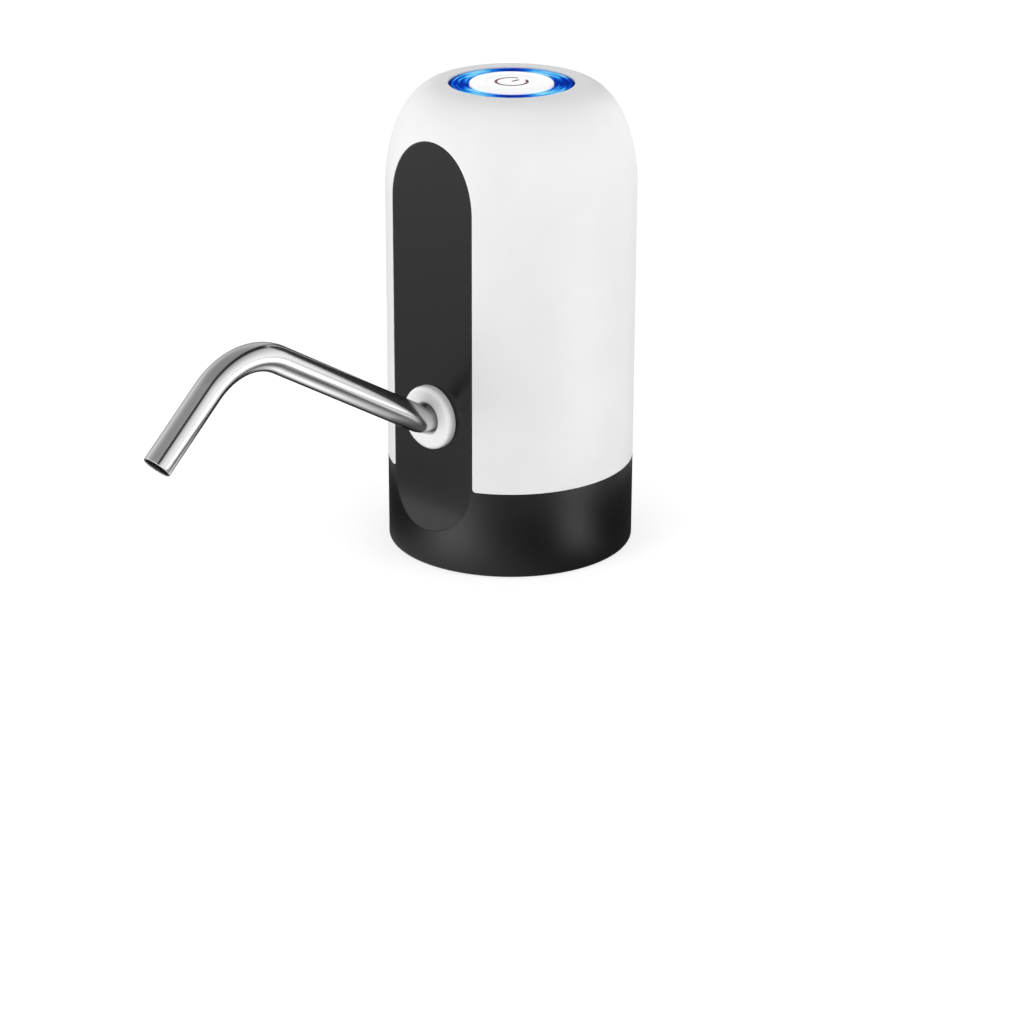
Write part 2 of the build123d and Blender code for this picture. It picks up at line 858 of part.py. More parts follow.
def brush_blades(grow):
    """Two brush blades beside the commutator, each ending above the cap as a terminal."""
    low = armature_low + armature_height + seat_gap
    blades = []
    for side in (-1, 1):
        near = commutator_radius + seat_gap
        inner = pump_x + side * near
        outer = pump_x + side * (near + brush_thickness)
        far = pump_x + side * (terminal_spacing / 2 + terminal_thickness)
        depth = (pump_y - brush_width / 2, pump_y + brush_width / 2)
        level = motor_top - end_cap_height - brush_thickness
        high = level + brush_thickness - seat_gap
        spring = slab(sorted((inner, outer)), depth, (low, high))
        shelf = slab(sorted((inner, far)), depth, (level, high))
        post_x = pump_x + side * terminal_spacing / 2
        post = slab(sorted((post_x - side * grow, far + side * grow)),
                    (pump_y - terminal_width / 2 - grow, pump_y + terminal_width / 2 + grow),
                    (level, motor_top + terminal_height))
        blades.append(post if grow else spring + shelf + post)
    return blades


def battery_cell():
    """Round lithium cell, standing on its end."""
    cell = disc(cell_radius, cell_low, cell_top, (battery_x, battery_y))
    rims = cell.edges().filter_by(GeomType.CIRCLE)
    cell = fillet(rims, cap_height)
    return cell + disc(cap_radius, cell_top - cap_height, cell_top + cap_height, (battery_x, battery_y))


def battery_tabs():
    """Nickel tabs under the cell and over its cap, folded back to the spine."""
    half = tab_width / 2
    top = cell_top + cap_height + seat_gap
    end = spine_front - seat_gap
    width = (battery_x - half, battery_x + half)
    return [slab(width, (battery_y - half, end), (low, low + tab_thickness)) for low in (floor_top, top)]


def battery_strap():
    """Strap that holds the cell against the spine."""
    low = floor_top + strap_rise
    inner = cell_radius + seat_gap
    outer = inner + strap_wall
    block = disc(outer, low, low + strap_height, (battery_x, battery_y))
    block += slab((battery_x - outer, battery_x + outer), (battery_y, spine_front), (low, low + strap_height))
    behind = slab((battery_x - outer, battery_x + outer), (spine_front - seat_gap, battery_y + outer),
                  (low - cut_overrun, low + strap_height + cut_overrun))
    block -= behind
    return block - disc(inner, low - cut_overrun, low + strap_height + cut_overrun, (battery_x, battery_y))


def chassis_floor():
    """Floor plate with screw bosses, the cell's cup, the outlet's cradle and the rear posts."""
    root = floor_top - floor_thickness / 2
    cell_place = (battery_x, battery_y)
    plate = disc(lip_inner - seat_gap, deck_top, floor_top) - in_front_of(front_wall_back - seat_gap)
    plate -= disc(nipple_hole, deck_top - cut_overrun, floor_top + cut_overrun)
    for place in base_screw_places():
        plate += disc(base_boss_radius, root, floor_top + base_boss_rise, place)
    plate += disc(cell_radius + seat_gap + cup_rim_wall, root, floor_top + cup_rim, cell_place)
    cradle_middle = (panel_back + outlet_back) / 2
    cradle_y = (-cradle_middle - cradle_length / 2, -cradle_middle + cradle_length / 2)
    cradle_top = spout_height - outlet_outer + cradle_wrap
    plate += slab((-cradle_half_width, cradle_half_width), cradle_y, (root, cradle_top))
    for place in rear_post_places():
        plate += disc(rear_post_radius, root, charge_height, place)
    plate -= disc(cell_radius + seat_gap, floor_top, floor_top + cup_rim + cut_overrun, cell_place)
    plate -= barrel(outlet_outer + seat_gap, panel_back, outlet_back - cut_overrun)
    return plate


def rear_post_places():
    """Places of the four posts under the charging board."""
    near = charge_board_front() + rear_post_radius
    far = charge_board_back() - port_depth
    return [(side * rear_post_spread, y) for side in (-1, 1) for y in (near, far)]


def charge_board_back():
    """Rear edge of the charging board, inside the round wall."""
    return sqrt(shell_inner ** 2 - charge_board_half ** 2) - charge_board_margin


def charge_board_front():
    """Front edge of the charging board."""
    return charge_board_back() - charge_board_length


def chassis():
    """Moulded frame: floor, spine, the shelf over the pump, and the shelf under the control board."""
    spine_low = floor_top - floor_thickness / 2
    frame = chassis_floor() + pump_shelf() + board_shelf()
    width = (-spine_half_width, spine_half_width)
    frame += slab(width, (spine_front, spine_back), (spine_low, upper_shelf_top))
    frame -= disc(motor_radius + seat_gap, motor_low - cut_overrun, motor_top + cut_overrun, pump_centre)
    for place in board_screw_places():
        frame -= disc(board_screw_radius, board_screw_tip() - seat_gap, board_low + cut_overrun, place)
    for place in base_screw_places():
        frame -= disc(base_screw_radius, deck_top - cut_overrun, base_screw_tip() + seat_gap, place)
    return frame - lead_windows()


def pump_shelf():
    """Shelf on top of the pump's crank case, joined to the spine and clear of the cell."""
    high = motor_low + lower_shelf
    outer = motor_radius + seat_gap + shelf_collar
    shelf = disc(outer, motor_low, high, pump_centre)
    depth = (pump_y, spine_front + spine_thickness / 2)
    shelf += slab((pump_x - outer, pump_x + outer), depth, (motor_low, high))
    return drilled(shelf, [(battery_x, battery_y)], cell_radius + strap_wall, motor_low, high)


def board_shelf():
    """Round shelf round the motor's end, with the standoffs of the control board."""
    span = (upper_shelf_low - cut_overrun, upper_shelf_top + cut_overrun)
    shelf = disc(top_shelf_radius, upper_shelf_low, upper_shelf_top)
    shelf -= slab((-body_radius, body_radius), (spine_back, body_radius), span)
    for place in board_screw_places():
        shelf += disc(standoff_radius, upper_shelf_low, board_low, place)
    return shelf


def lead_windows():
    """Windows for the cell's leads: one in the spine's foot and one in the shelf above the cell."""
    through_spine = (spine_front - cut_overrun, spine_back + cut_overrun)
    width = (battery_x - tab_width, battery_x + tab_width)
    foot = slab(width, through_spine, (floor_top, floor_top + cup_rim))
    above = disc(lead_radius + lead_gap, upper_shelf_low - cut_overrun, upper_shelf_top + cut_overrun,
                 (battery_x, battery_y))
    return foot + above


def base_screw_tip():
    """Height of the base screws' tips."""
    return socket_depth + base_screw_length


def base_screws():
    """Screws up through the socket's ceiling and the deck into the frame."""
    return [screw(place, socket_depth, base_screw_tip(), base_screw_radius, base_screw_head,
                  base_screw_head_height) for place in base_screw_places()]


def charge_board():
    """Small board on the rear posts."""
    return slab((-charge_board_half, charge_board_half), (charge_board_front(), charge_board_back()),
                (charge_height, charge_height + charge_board_thickness))


def charge_socket():
    """Metal charging socket on the board's rear edge, with its tongue inside."""
    low = charge_height + charge_board_thickness
    front = body_radius - port_recess
    half = port_width / 2
    shell = slab((-half, half), (front - port_depth, front), (low, low + port_height))
    mouth = (front - port_depth + port_wall, front + cut_overrun)
    inside = (low + port_wall, low + port_height - port_wall)
    shell -= slab((-half + port_wall, half - port_wall), mouth, inside)
    middle = low + port_height / 2
    tongue = slab((-half / 2, half / 2), (front - port_depth, front - port_recess),
                  (middle - port_tongue / 2, middle + port_tongue / 2))
    return shell + tongue


def control_board():
    """Round board under the button, on the frame's standoffs."""
    board = disc(board_radius, board_low, board_top)
    for place in board_screw_places():
        board -= disc(board_screw_radius + key_gap, board_low - cut_overrun, board_top + cut_overrun, place)
    return board


def board_screw_tip():
    """Height of the board screws' tips."""
    return board_top - board_screw_length


def board_screws():
    """Screws that hold the control board down."""
    return [screw(place, board_top, board_screw_tip(), board_screw_radius, board_screw_head,
                  board_screw_head_height) for place in board_screw_places()]


def tact_switch():
    """Square push switch in the middle of the board."""
    body = slab((-switch_half, switch_half), (-switch_half, switch_half), (board_top, switch_top))
    well = switch_top - plunger_depth - plunger_rise
    return body - disc(plunger_radius + key_gap, well, switch_top + cut_overrun)


def switch_plunger():
    """Plunger of the push switch, under the button's stem."""
    return disc(plunger_radius, switch_top - plunger_depth, plunger_top)


def ring_leds():
    """Lamps in a circle on the board, under the light ring."""
    lamps = []
    for n in range(led_count):
        lamp = slab((-led_width / 2, led_width / 2), (-led_length / 2, led_length / 2),
                    (board_top, board_top + led_height))
        turn = Rot(0, 0, 360 / led_count * (n + 1 / 2))
        lamps.append(turn * Pos(led_circle, 0, 0) * lamp)
    return lamps


def light_ring():
    """Clear ring round the button: a skirt on the board, a flange under the dome, and the lit top."""
    flange_high = body_height - shell_wall - seat_gap
    outline = Polyline(
        (ring_radius, ring_top - ring_round),
        (ring_radius, flange_high),
        (ring_radius + ring_flange, flange_high),
        (ring_radius + ring_flange, flange_high - ring_flange_height),
        (ring_radius, flange_high - ring_flange_height),
        (ring_radius, board_top),
        (ring_skirt_inner, board_top),
        (ring_skirt_inner, ring_step),
        (ring_inner, ring_step),
        (ring_inner, ring_top),
        (ring_radius - ring_round, ring_top),
    )
    edge = RadiusArc((ring_radius - ring_round, ring_top), (ring_radius, ring_top - ring_round), ring_round)
    return revolve(Plane.XZ * make_face(outline + edge), Axis.Z)


def button_cap():
    """White button: a shallow dish in its crown, a skirt with a stop flange, and a stem to the switch."""
    inner = button_radius - button_wall
    roof = button_top - button_crown - button_wall
    cap = turned([
        (0, plunger_top + seat_gap),
        (button_stem, plunger_top + seat_gap),
        (button_stem, roof),
        (inner, roof),
        (inner, flange_low),
        (button_radius + button_flange, flange_low),
        (button_radius + button_flange, flange_top),
        (button_radius, flange_top),
        (button_radius, button_top - button_crown - button_round),
        (button_radius - button_round, button_top - button_crown),
        (dish_radius + dish_slope, button_top),
        (dish_radius, button_top - dish_depth),
        (0, button_top - dish_depth),
    ])
    return cap


def motor_leads():
    """Two wires from the motor's terminals to the control board."""
    wires = []
    start = motor_top + terminal_height + seat_gap
    for side in (-1, 1):
        x = pump_x + side * (terminal_spacing + terminal_thickness) / 2
        wires.append(disc(lead_radius, start, board_low - seat_gap, (x, pump_y)))
    return wires


def charge_leads():
    """Two wires up the back of the spine, from the charging board to the control board."""
    wires = []
    y = charge_board_front() + lead_gap
    run = spine_back + lead_radius + seat_gap
    start = charge_height + charge_board_thickness
    for x in (-lead_spacing, lead_spacing):
        route = FilletPolyline(
            (x, y, start),
            (x, y, start + 2 * lead_bend),
            (x, run, start + 4 * lead_bend),
            (x, run, board_low),
            radius=lead_bend,
        )
        wires.append(tube_along(route, lead_radius))
    return wires


def battery_lead():
    """Wire from the cell's top tab to the control board, through the shelf."""
    start = cell_top + cap_height + tab_thickness + 2 * seat_gap
    return disc(lead_radius, start, board_low - seat_gap, (battery_x, battery_y))


parts = {
    "upper_shell": upper_shell,
    "base_housing": base_housing,
    "neck_socket": neck_socket,
    "neck_grip_ring": neck_grip_ring,
    "outlet_socket": outlet_socket,
    "outlet_hose": outlet_hose,
    "inlet_hose": inlet_hose,
    "spout_collar": spout_collar,
    "collar_seals": collar_seals,
    "spout_tube": spout_tube,
    "head_cover": head_cover,
    "valve_plate": valve_plate,
    "check_valves": check_valves,
    "diaphragm": diaphragm,
    "crank_case": crank_case,
    "pump_screws": pump_screws,
    "wobble_plate": wobble_plate,
    "crank_disc": crank_disc,
    "motor_shaft": motor_shaft,
    "motor_can": motor_can,
    "motor_magnets": motor_magnets,
    "motor_rotor": motor_rotor,
    "motor_end_cap": motor_end_cap,
    "motor_brushes": lambda: brush_blades(0),
    "battery_cell": battery_cell,
    "battery_tabs": battery_tabs,
    "battery_strap": battery_strap,
    "chassis": chassis,
    "base_screws": base_screws,
    "charge_board": charge_board,
    "charge_socket": charge_socket,
    "control_board": control_board,
    "board_screws": board_screws,
    "tact_switch": tact_switch,
    "switch_plunger": switch_plunger,
    "ring_leds": ring_leds,
    "light_ring": light_ring,
    "button_cap": button_cap,
    "motor_leads": motor_leads,
    "charge_leads": charge_leads,
    "battery_lead": battery_lead,
}

os.makedirs("parts", exist_ok=True)
for name, make in parts.items():
    shape = make()
    if isinstance(shape, list):
        shape = Compound(children=shape)
    export_step(shape, f"parts/{name}.step")
    print(name, "volume", round(shape.volume))
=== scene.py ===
import logging
from dataclasses import dataclass, replace
from enum import Enum
from math import acos, asin, cos, pi, radians, sin, sqrt

import bpy
import numpy as np
from mathutils import Matrix, Vector


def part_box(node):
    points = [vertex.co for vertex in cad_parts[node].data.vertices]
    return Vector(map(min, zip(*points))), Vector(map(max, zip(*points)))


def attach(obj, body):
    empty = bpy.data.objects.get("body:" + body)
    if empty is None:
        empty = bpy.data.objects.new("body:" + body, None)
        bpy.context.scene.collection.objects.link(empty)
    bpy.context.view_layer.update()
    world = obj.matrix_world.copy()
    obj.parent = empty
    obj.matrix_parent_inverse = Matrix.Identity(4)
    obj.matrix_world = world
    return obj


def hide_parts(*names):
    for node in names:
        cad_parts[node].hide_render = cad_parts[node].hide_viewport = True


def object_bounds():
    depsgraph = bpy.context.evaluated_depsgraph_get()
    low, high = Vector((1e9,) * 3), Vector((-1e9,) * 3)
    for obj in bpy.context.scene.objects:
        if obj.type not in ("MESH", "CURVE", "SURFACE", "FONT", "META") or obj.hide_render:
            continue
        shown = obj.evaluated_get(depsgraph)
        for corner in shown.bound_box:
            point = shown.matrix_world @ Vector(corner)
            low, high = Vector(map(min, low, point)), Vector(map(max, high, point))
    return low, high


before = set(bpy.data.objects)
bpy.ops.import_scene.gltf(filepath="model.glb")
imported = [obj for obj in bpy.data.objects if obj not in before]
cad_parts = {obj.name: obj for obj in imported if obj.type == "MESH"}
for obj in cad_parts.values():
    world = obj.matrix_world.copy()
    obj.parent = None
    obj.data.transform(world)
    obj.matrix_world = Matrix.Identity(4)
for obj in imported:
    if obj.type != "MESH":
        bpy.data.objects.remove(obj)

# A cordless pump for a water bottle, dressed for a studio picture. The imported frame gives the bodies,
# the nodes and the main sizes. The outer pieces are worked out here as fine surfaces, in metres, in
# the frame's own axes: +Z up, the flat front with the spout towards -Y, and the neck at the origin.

MM = 0.001
HAIR = 0.001 * MM  # slack when a row is matched to a height
WELD = 1e-7  # points that agree to this, in metres, become one
SIDE_SHARE = 0.45  # how much of an outline's side one rounding may take
FRONT = 32.5 * MM  # distance of the flat front from the housing's axis
OUTLET_HEIGHT = 45.0 * MM  # height of the axis that the spout turns about
WHITE = (1.0, 1.0, 1.0, 1.0)
CAD_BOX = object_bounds()
Array = np.ndarray
Pair = tuple[float, float]
Colour = tuple[float, float, float]
Place = tuple[float, float, float]
Socket = bpy.types.NodeSocket

log = logging.getLogger("pump")


class Body(Enum):
    """The moving bodies of the frame that a piece can ride on."""

    HOUSING = "housing"
    BUTTON = "button"
    PLUG = "spout_plug"
    SPOUT = "spout"


class Axis(Enum):
    """The axis that a profile is turned about."""

    UPRIGHT = "z"
    FORWARD = "y"


class Pattern(Enum):
    """The fine pattern that a finish carries."""

    MOULDED = "moulded"
    BRUSHED = "brushed"
    TURNED = "turned"
    LAMINATED = "laminated"
    WOVEN_BOARD = "woven board"


ROUND_THE_TUBE: Place = (12.0, 1.0, 1.0)  # squeeze along each coordinate that leaves brushed lines
ROUND_THE_AXIS: Place = (0.05, 0.05, 1.0)  # and the one that leaves turned rings


# Spacing and outline helpers


def steps(count: int) -> Array:
    """Even steps from 0 to 1, with both ends."""
    return np.linspace(0.0, 1.0, count + 1)


def spaced(start: float, stop: float, count: int) -> Array:
    """Even stations from one value to another."""
    return start + (stop - start) * steps(count)


def dense_at_start(start: float, stop: float, count: int) -> Array:
    """Stations whose distance from the start grows with the square of the step."""
    return start + (stop - start) * steps(count) ** 2


def dense_at_stop(start: float, stop: float, count: int) -> Array:
    """Stations whose distance from the stop shrinks with the square of the step."""
    return stop - (stop - start) * (1.0 - steps(count)) ** 2


def lines(*runs: Array) -> Array:
    """Runs of stations joined, each without its first value, which ends the run before."""
    return np.concatenate([runs[0]] + [run[1:] for run in runs[1:]])


def even_runs(stations: tuple[float, ...], counts: tuple[int, ...]) -> Array:
    """Even stations from each of a few main stations to the next, with a count of steps for each."""
    return lines(*map(spaced, stations, stations[1:], counts))


def spot(x: Array, y: Array, z: Array) -> Array:
    """Joins coordinates to points, spreading single values."""
    return np.stack(np.broadcast_arrays(x, y, z), -1).astype(float)


def behind(points: Array, distance: float) -> Array:
    """The same points a distance further back, along +Y."""
    return points + np.array([0.0, distance, 0.0])


def travelled(points: Array) -> Array:
    """The distance travelled along a line at each of its points."""
    return np.concatenate([[0.0], np.cumsum(np.linalg.norm(np.diff(points, axis=0), axis=1))])


def added(name: str, data: bpy.types.ID) -> bpy.types.Object:
    """Puts an object with the given data into the scene.

    Args:
        name: The object's name.
        data: Its mesh, lamp or camera.

    Returns:
        The object.
    """
    thing = bpy.data.objects.new(name, data)
    bpy.context.scene.collection.objects.link(thing)
    return thing


def soft_corner(first: Array, corner: Array, last: Array, count: int = 4) -> Array:
    """Rounds an edge that runs past many stations at once.

    A quadratic curve B(t) = (1-t)^2 first + 2t(1-t) corner + t^2 last, for every station.

    Args:
        first: Where the curve starts, one point for each station.
        corner: The sharp corner that the curve is drawn towards.
        last: Where the curve ends.
        count: Steps along the curve.

    Returns:
        Points of shape (stations, count + 1, 3).
    """
    t = steps(count)[None, :, None]
    return (1 - t) ** 2 * first[:, None] + 2 * t * (1 - t) * corner[:, None] + t ** 2 * last[:, None]


def rounded(points: list[Pair], radii: dict[int, float], count: int = 6) -> Array:
    """Rounds chosen corners of an outline.

    At a corner of radius r the curve starts r before it and ends r after it, or at most 0.45 of the
    shorter side, and is a circle's arc where the corner is square.

    Args:
        points: The outline's corners as (radius, height).
        radii: The rounding of each corner to be rounded, by its place in the list.
        count: Steps round each corner.

    Returns:
        The outline's points, of shape (n, 2).
    """
    corners = np.array(points, float)
    stretches = []
    for place, corner in enumerate(corners):
        if place not in radii:
            stretches.append(corner[None])
            continue
        back = corners[place - 1] - corner
        ahead = corners[(place + 1) % len(corners)] - corner
        reach = min(radii[place], SIDE_SHARE * np.linalg.norm(back),
                    SIDE_SHARE * np.linalg.norm(ahead))
        back = back / np.linalg.norm(back) * reach
        ahead = ahead / np.linalg.norm(ahead) * reach
        turn = steps(count)[:, None] * pi / 2
        stretches.append(corner + back * (1 - np.sin(turn)) + ahead * (1 - np.cos(turn)))
    return np.concatenate(stretches)


def rectangle_loop(across: Array, up: Array) -> Array:
    """Points round a rectangle, one at each of its grid lines, from its lower left corner.

    Args:
        across: Where the upright lines stand.
        up: Where the level lines lie.

    Returns:
        Points of shape (n, 2), each corner once.
    """
    low = np.stack([across[:-1], np.full(len(across) - 1, up[0])], 1)
    right = np.stack([np.full(len(up) - 1, across[-1]), up[:-1]], 1)
    high = np.stack([across[:0:-1], np.full(len(across) - 1, up[-1])], 1)
    left = np.stack([np.full(len(up) - 1, across[0]), up[:0:-1]], 1)
    return np.concatenate([low, right, high, left])


def oval_loop(counts: tuple[int, int], middle: Pair, half: Pair, power: float) -> Array:
    """Points of an oval hole, one for each point of the rectangle loop round it.

    The oval is |x/a|^power + |z/b|^power = 1: a power of 2 is an ellipse, and a higher one a slot with
    rounded ends. Each point lies in the direction of its place on an even grid's rectangle.

    Args:
        counts: Faces across and up the rectangle.
        middle: The oval's centre.
        half: The oval's half width a and half height b.
        power: How square the oval is.

    Returns:
        Points of shape (n, 2).
    """
    grid = rectangle_loop(spaced(-1.0, 1.0, counts[0]), spaced(-1.0, 1.0, counts[1]))
    turn = np.arctan2(grid[:, 1], grid[:, 0])
    ways = np.stack([np.cos(turn), np.sin(turn)], 1)
    return np.array(middle) + np.array(half) * np.sign(ways) * np.abs(ways) ** (2 / power)


def between(outside: Array, inside: Array, count: int) -> Array:
    """Loops drawn evenly from one loop to another, of shape (count + 1, n, 2)."""
    t = steps(count)[:, None, None]
    return (1 - t) * outside + t * inside


# Meshes


@dataclass
class Sheet:
    """A grid of points with a face between every four."""

    points: Array  # the points, of shape (rows, columns, 3)
    wrap: bool = False  # whether the last column joins the first
    flip: bool = False  # whether the faces are turned over
    drop: Array | None = None  # faces to leave out, of shape (rows - 1, columns - 1), or None
    uv: Array | None = None  # distances along and round the sheet, of shape (rows, columns, 2), or None

    def faces(self) -> Array:
        """Joins every four points to a face.

        Returns:
            The four corner numbers of each face, of shape (n, 4).
        """
        rows, columns = self.points.shape[:2]
        index = np.arange(rows * columns).reshape(rows, columns)
        if self.wrap:
            index = np.concatenate([index, index[:, :1]], 1)
        quads = np.stack([index[:-1, :-1], index[:-1, 1:], index[1:, 1:], index[1:, :-1]], -1)
        quads = quads.reshape(-1, 4) if self.drop is None else quads[~self.drop]
        return quads[:, ::-1] if self.flip else quads

    def distances(self) -> Array:
        """The sheet's own distances for each point, or zeros."""
        rows, columns = self.points.shape[:2]
        return np.zeros((rows * columns, 2)) if self.uv is None else self.uv.reshape(-1, 2)


@dataclass
class Piece:
    """A visible piece: sheets joined to one closed mesh."""

    name: str  # the object's name
    body: Body  # the body that it rides on
    slot: str  # the record's material slot; not used
    stands_for: tuple[str, ...] = ()  # the frame's nodes that it replaces
    crease: float = 32.0  # the angle in degrees past which an edge stays sharp

    def build(self, material: bpy.types.Material, *sheets: Sheet) -> None:
        """Welds the sheets, makes the mesh and fits it to the frame.

        Points that agree to a tenth of a micrometre become one, and a face that loses a corner by
        that becomes a triangle, or goes when it has less than three. The object stays at the origin.

        Args:
            material: The finish of the whole piece.
            *sheets: The sheets that it is made of.
        """
        points = np.concatenate([sheet.points.reshape(-1, 3) for sheet in sheets])
        distances = np.concatenate([sheet.distances() for sheet in sheets])
        counts = [sheet.points.shape[0] * sheet.points.shape[1] for sheet in sheets]
        starts = np.cumsum([0] + counts[:-1])
        quads = np.concatenate([sheet.faces() + start for sheet, start in zip(sheets, starts)])
        _, first, number = np.unique(np.round(points / WELD).astype(np.int64), axis=0,
                                     return_index=True, return_inverse=True)
        welded = number.reshape(-1)[quads]
        kept = welded != np.roll(welded, 1, axis=1)
        kept[kept.sum(1) < 3] = False
        corners = welded[kept]
        totals = kept.sum(1)
        totals = totals[totals > 0]
        mesh = bpy.data.meshes.new(self.name)
        mesh.vertices.add(len(first))
        mesh.vertices.foreach_set("co", points[first].astype(np.float32).ravel())
        mesh.loops.add(len(corners))
        mesh.loops.foreach_set("vertex_index", corners.astype(np.int32))
        mesh.polygons.add(len(totals))
        mesh.polygons.foreach_set("loop_start", (np.cumsum(totals) - totals).astype(np.int32))
        mesh.polygons.foreach_set("loop_total", totals.astype(np.int32))
        layer = mesh.uv_layers.new(name="distance")
        layer.data.foreach_set("uv", distances[quads[kept]].astype(np.float32).ravel())
        mesh.update(calc_edges=True)
        mesh.shade_smooth()
        mesh.set_sharp_from_angle(angle=radians(self.crease))
        mesh.materials.append(material)
        thing = added(self.name, mesh)
        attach(thing, self.body.value)
        if self.stands_for:
            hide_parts(*self.stands_for)
        log.info("%s: %d points, %d faces", self.name, len(first), len(totals))


def turned(outline: Array, axis: Axis, count: int, height: float = 0.0, wrap: bool = True) -> Sheet:
    """Turns an outline about an axis.

    Each outline point (r, h) goes to (r cos a, r sin a, h) about the upright axis, or to
    (r sin a, h, height + r cos a) about the line along Y at a height.

    Args:
        outline: Points of shape (n, 2), with the material on the left of the way along them.
        axis: The axis to turn about.
        count: Columns round the axis.
        height: Height of the line along Y.
        wrap: Whether the outline is a closed loop.

    Returns:
        The turned sheet.
    """
    closed = np.concatenate([outline, outline[:1]]) if wrap else outline
    turn = np.arange(count) * 2 * pi / count
    r, h = closed[:, 0, None], closed[:, 1, None]
    side, ahead = r * np.sin(turn), r * np.cos(turn)
    points = spot(ahead, side, h) if axis is Axis.UPRIGHT else spot(side, h, height + ahead)
    run = travelled(closed)[:, None]
    round_it = turn * np.maximum(r, MM)  # near the axis a millimetre stands in for the radius
    uv = np.stack(np.broadcast_arrays(run, round_it), -1)
    return Sheet(points, wrap=True, uv=uv)


# Finishes


@dataclass
class Tree:
    """The nodes of a material or of the world, with short ways to add and join them."""

    owner: bpy.types.Material | bpy.types.World

    @classmethod
    def of_material(cls, name: str) -> tuple["Tree", bpy.types.Node]:
        """Starts a material.

        Args:
            name: The material's name.

        Returns:
            Its nodes and its shader.
        """
        owner = bpy.data.materials.new(name)
        owner.use_nodes = True
        return cls(owner), owner.node_tree.nodes["Principled BSDF"]

    def feed(self, target: Socket, value: object) -> None:
        """Gives an input a link if the value is an output, and a constant otherwise.

        Args:
            target: The input.
            value: An output or a constant.
        """
        if isinstance(value, Socket):
            self.owner.node_tree.links.new(value, target)
        else:
            target.default_value = value

    def fill(self, made: bpy.types.Node, **values: object) -> bpy.types.Node:
        """Sets a node's properties and inputs by name.

        Args:
            made: The node.
            **values: Constants or outputs; a name that is a property of the node sets it, and any
                other feeds the input of that name, with _ for a space.

        Returns:
            The node.
        """
        for name, value in values.items():
            if hasattr(made, name):
                setattr(made, name, value)
            else:
                self.feed(made.inputs[name.replace("_", " ")], value)
        return made

    def node(self, kind: str, **values: object) -> bpy.types.Node:
        """Adds a node of a kind, filled as fill does."""
        return self.fill(self.owner.node_tree.nodes.new("ShaderNode" + kind), **values)

    def noise(self, place: Socket, scale: float, detail: float = 2.0, roughness: float = 0.5) -> Socket:
        """A noise field of about 0 to 1 on the given coordinates."""
        made = self.node("TexNoise", Vector=place, Scale=scale, Detail=detail, Roughness=roughness)
        return made.outputs["Fac"]

    def maths(self, operation: str, first: object, second: object = 0.0) -> Socket:
        """Adds a sum.

        Args:
            operation: What it does with the two.
            first: A constant or an output.
            second: Another one.

        Returns:
            The result.
        """
        made = self.node("Math", operation=operation)
        for target, value in zip(made.inputs, (first, second)):
            self.feed(target, value)
        return made.outputs[0]

    def times(self, first: object, *others: object) -> Socket:
        """Multiplies constants or outputs.

        Args:
            first: The first factor.
            *others: The other factors.

        Returns:
            The product.
        """
        for other in others:
            first = self.maths("MULTIPLY", first, other)
        return first

    def ramp(self, source: Socket, stops: tuple[tuple[float, Colour], ...]) -> Socket:
        """Adds a colour ramp.

        Args:
            source: The value that it follows.
            stops: Values and the colour at each.

        Returns:
            The colour.
        """
        made = self.node("ValToRGB")
        bar = made.color_ramp
        while len(bar.elements) < len(stops):
            bar.elements.new(1.0)
        for element, (place, colour) in zip(bar.elements, stops):
            element.position = place
            element.color = (*colour, 1.0)
        self.feed(made.inputs[0], source)
        return made.outputs[0]

    def spread(self, source: Socket, low: float, high: float) -> Socket:
        """Maps a value from 0..1 to low..high."""
        return self.node("MapRange", Value=source, To_Min=low, To_Max=high).outputs["Result"]

    def ease(self, source: Socket, stations: Pair, values: Pair = (0.0, 1.0)) -> Socket:
        """Passes smoothly from one value to another while a source goes from one station to the next."""
        return self.node("MapRange", interpolation_type="SMOOTHSTEP", Value=source, From_Min=stations[0],
                         From_Max=stations[1], To_Min=values[0], To_Max=values[1]).outputs["Result"]

    def hill(self, source: Socket, middle: float, width: float) -> Socket:
        """A bell curve exp(-((v - middle) / width)^2 / 2) of a value v."""
        away = self.times(self.maths("SUBTRACT", source, middle), 1 / width)
        return self.maths("EXPONENT", self.times(away, away, -0.5))

    def split(self, source: Socket) -> tuple[Socket, ...]:
        """The X, Y and Z of a vector."""
        return tuple(self.node("SeparateXYZ", Vector=source).outputs)

    def length(self, x: Socket, y: Socket) -> Socket:
        """The distance sqrt(x^2 + y^2)."""
        return self.maths("SQRT", self.maths("ADD", self.times(x, x), self.times(y, y)))

    def shiny_rays(self) -> tuple[Socket, Socket]:
        """Tells the kinds of rays apart.

        Returns:
            1 for the camera's rays, and 1 for the rays of gloss, metal and glass.
        """
        path = self.node("LightPath").outputs
        shiny = self.maths("MAXIMUM", path["Is Glossy Ray"], path["Is Transmission Ray"])
        return path["Is Camera Ray"], shiny


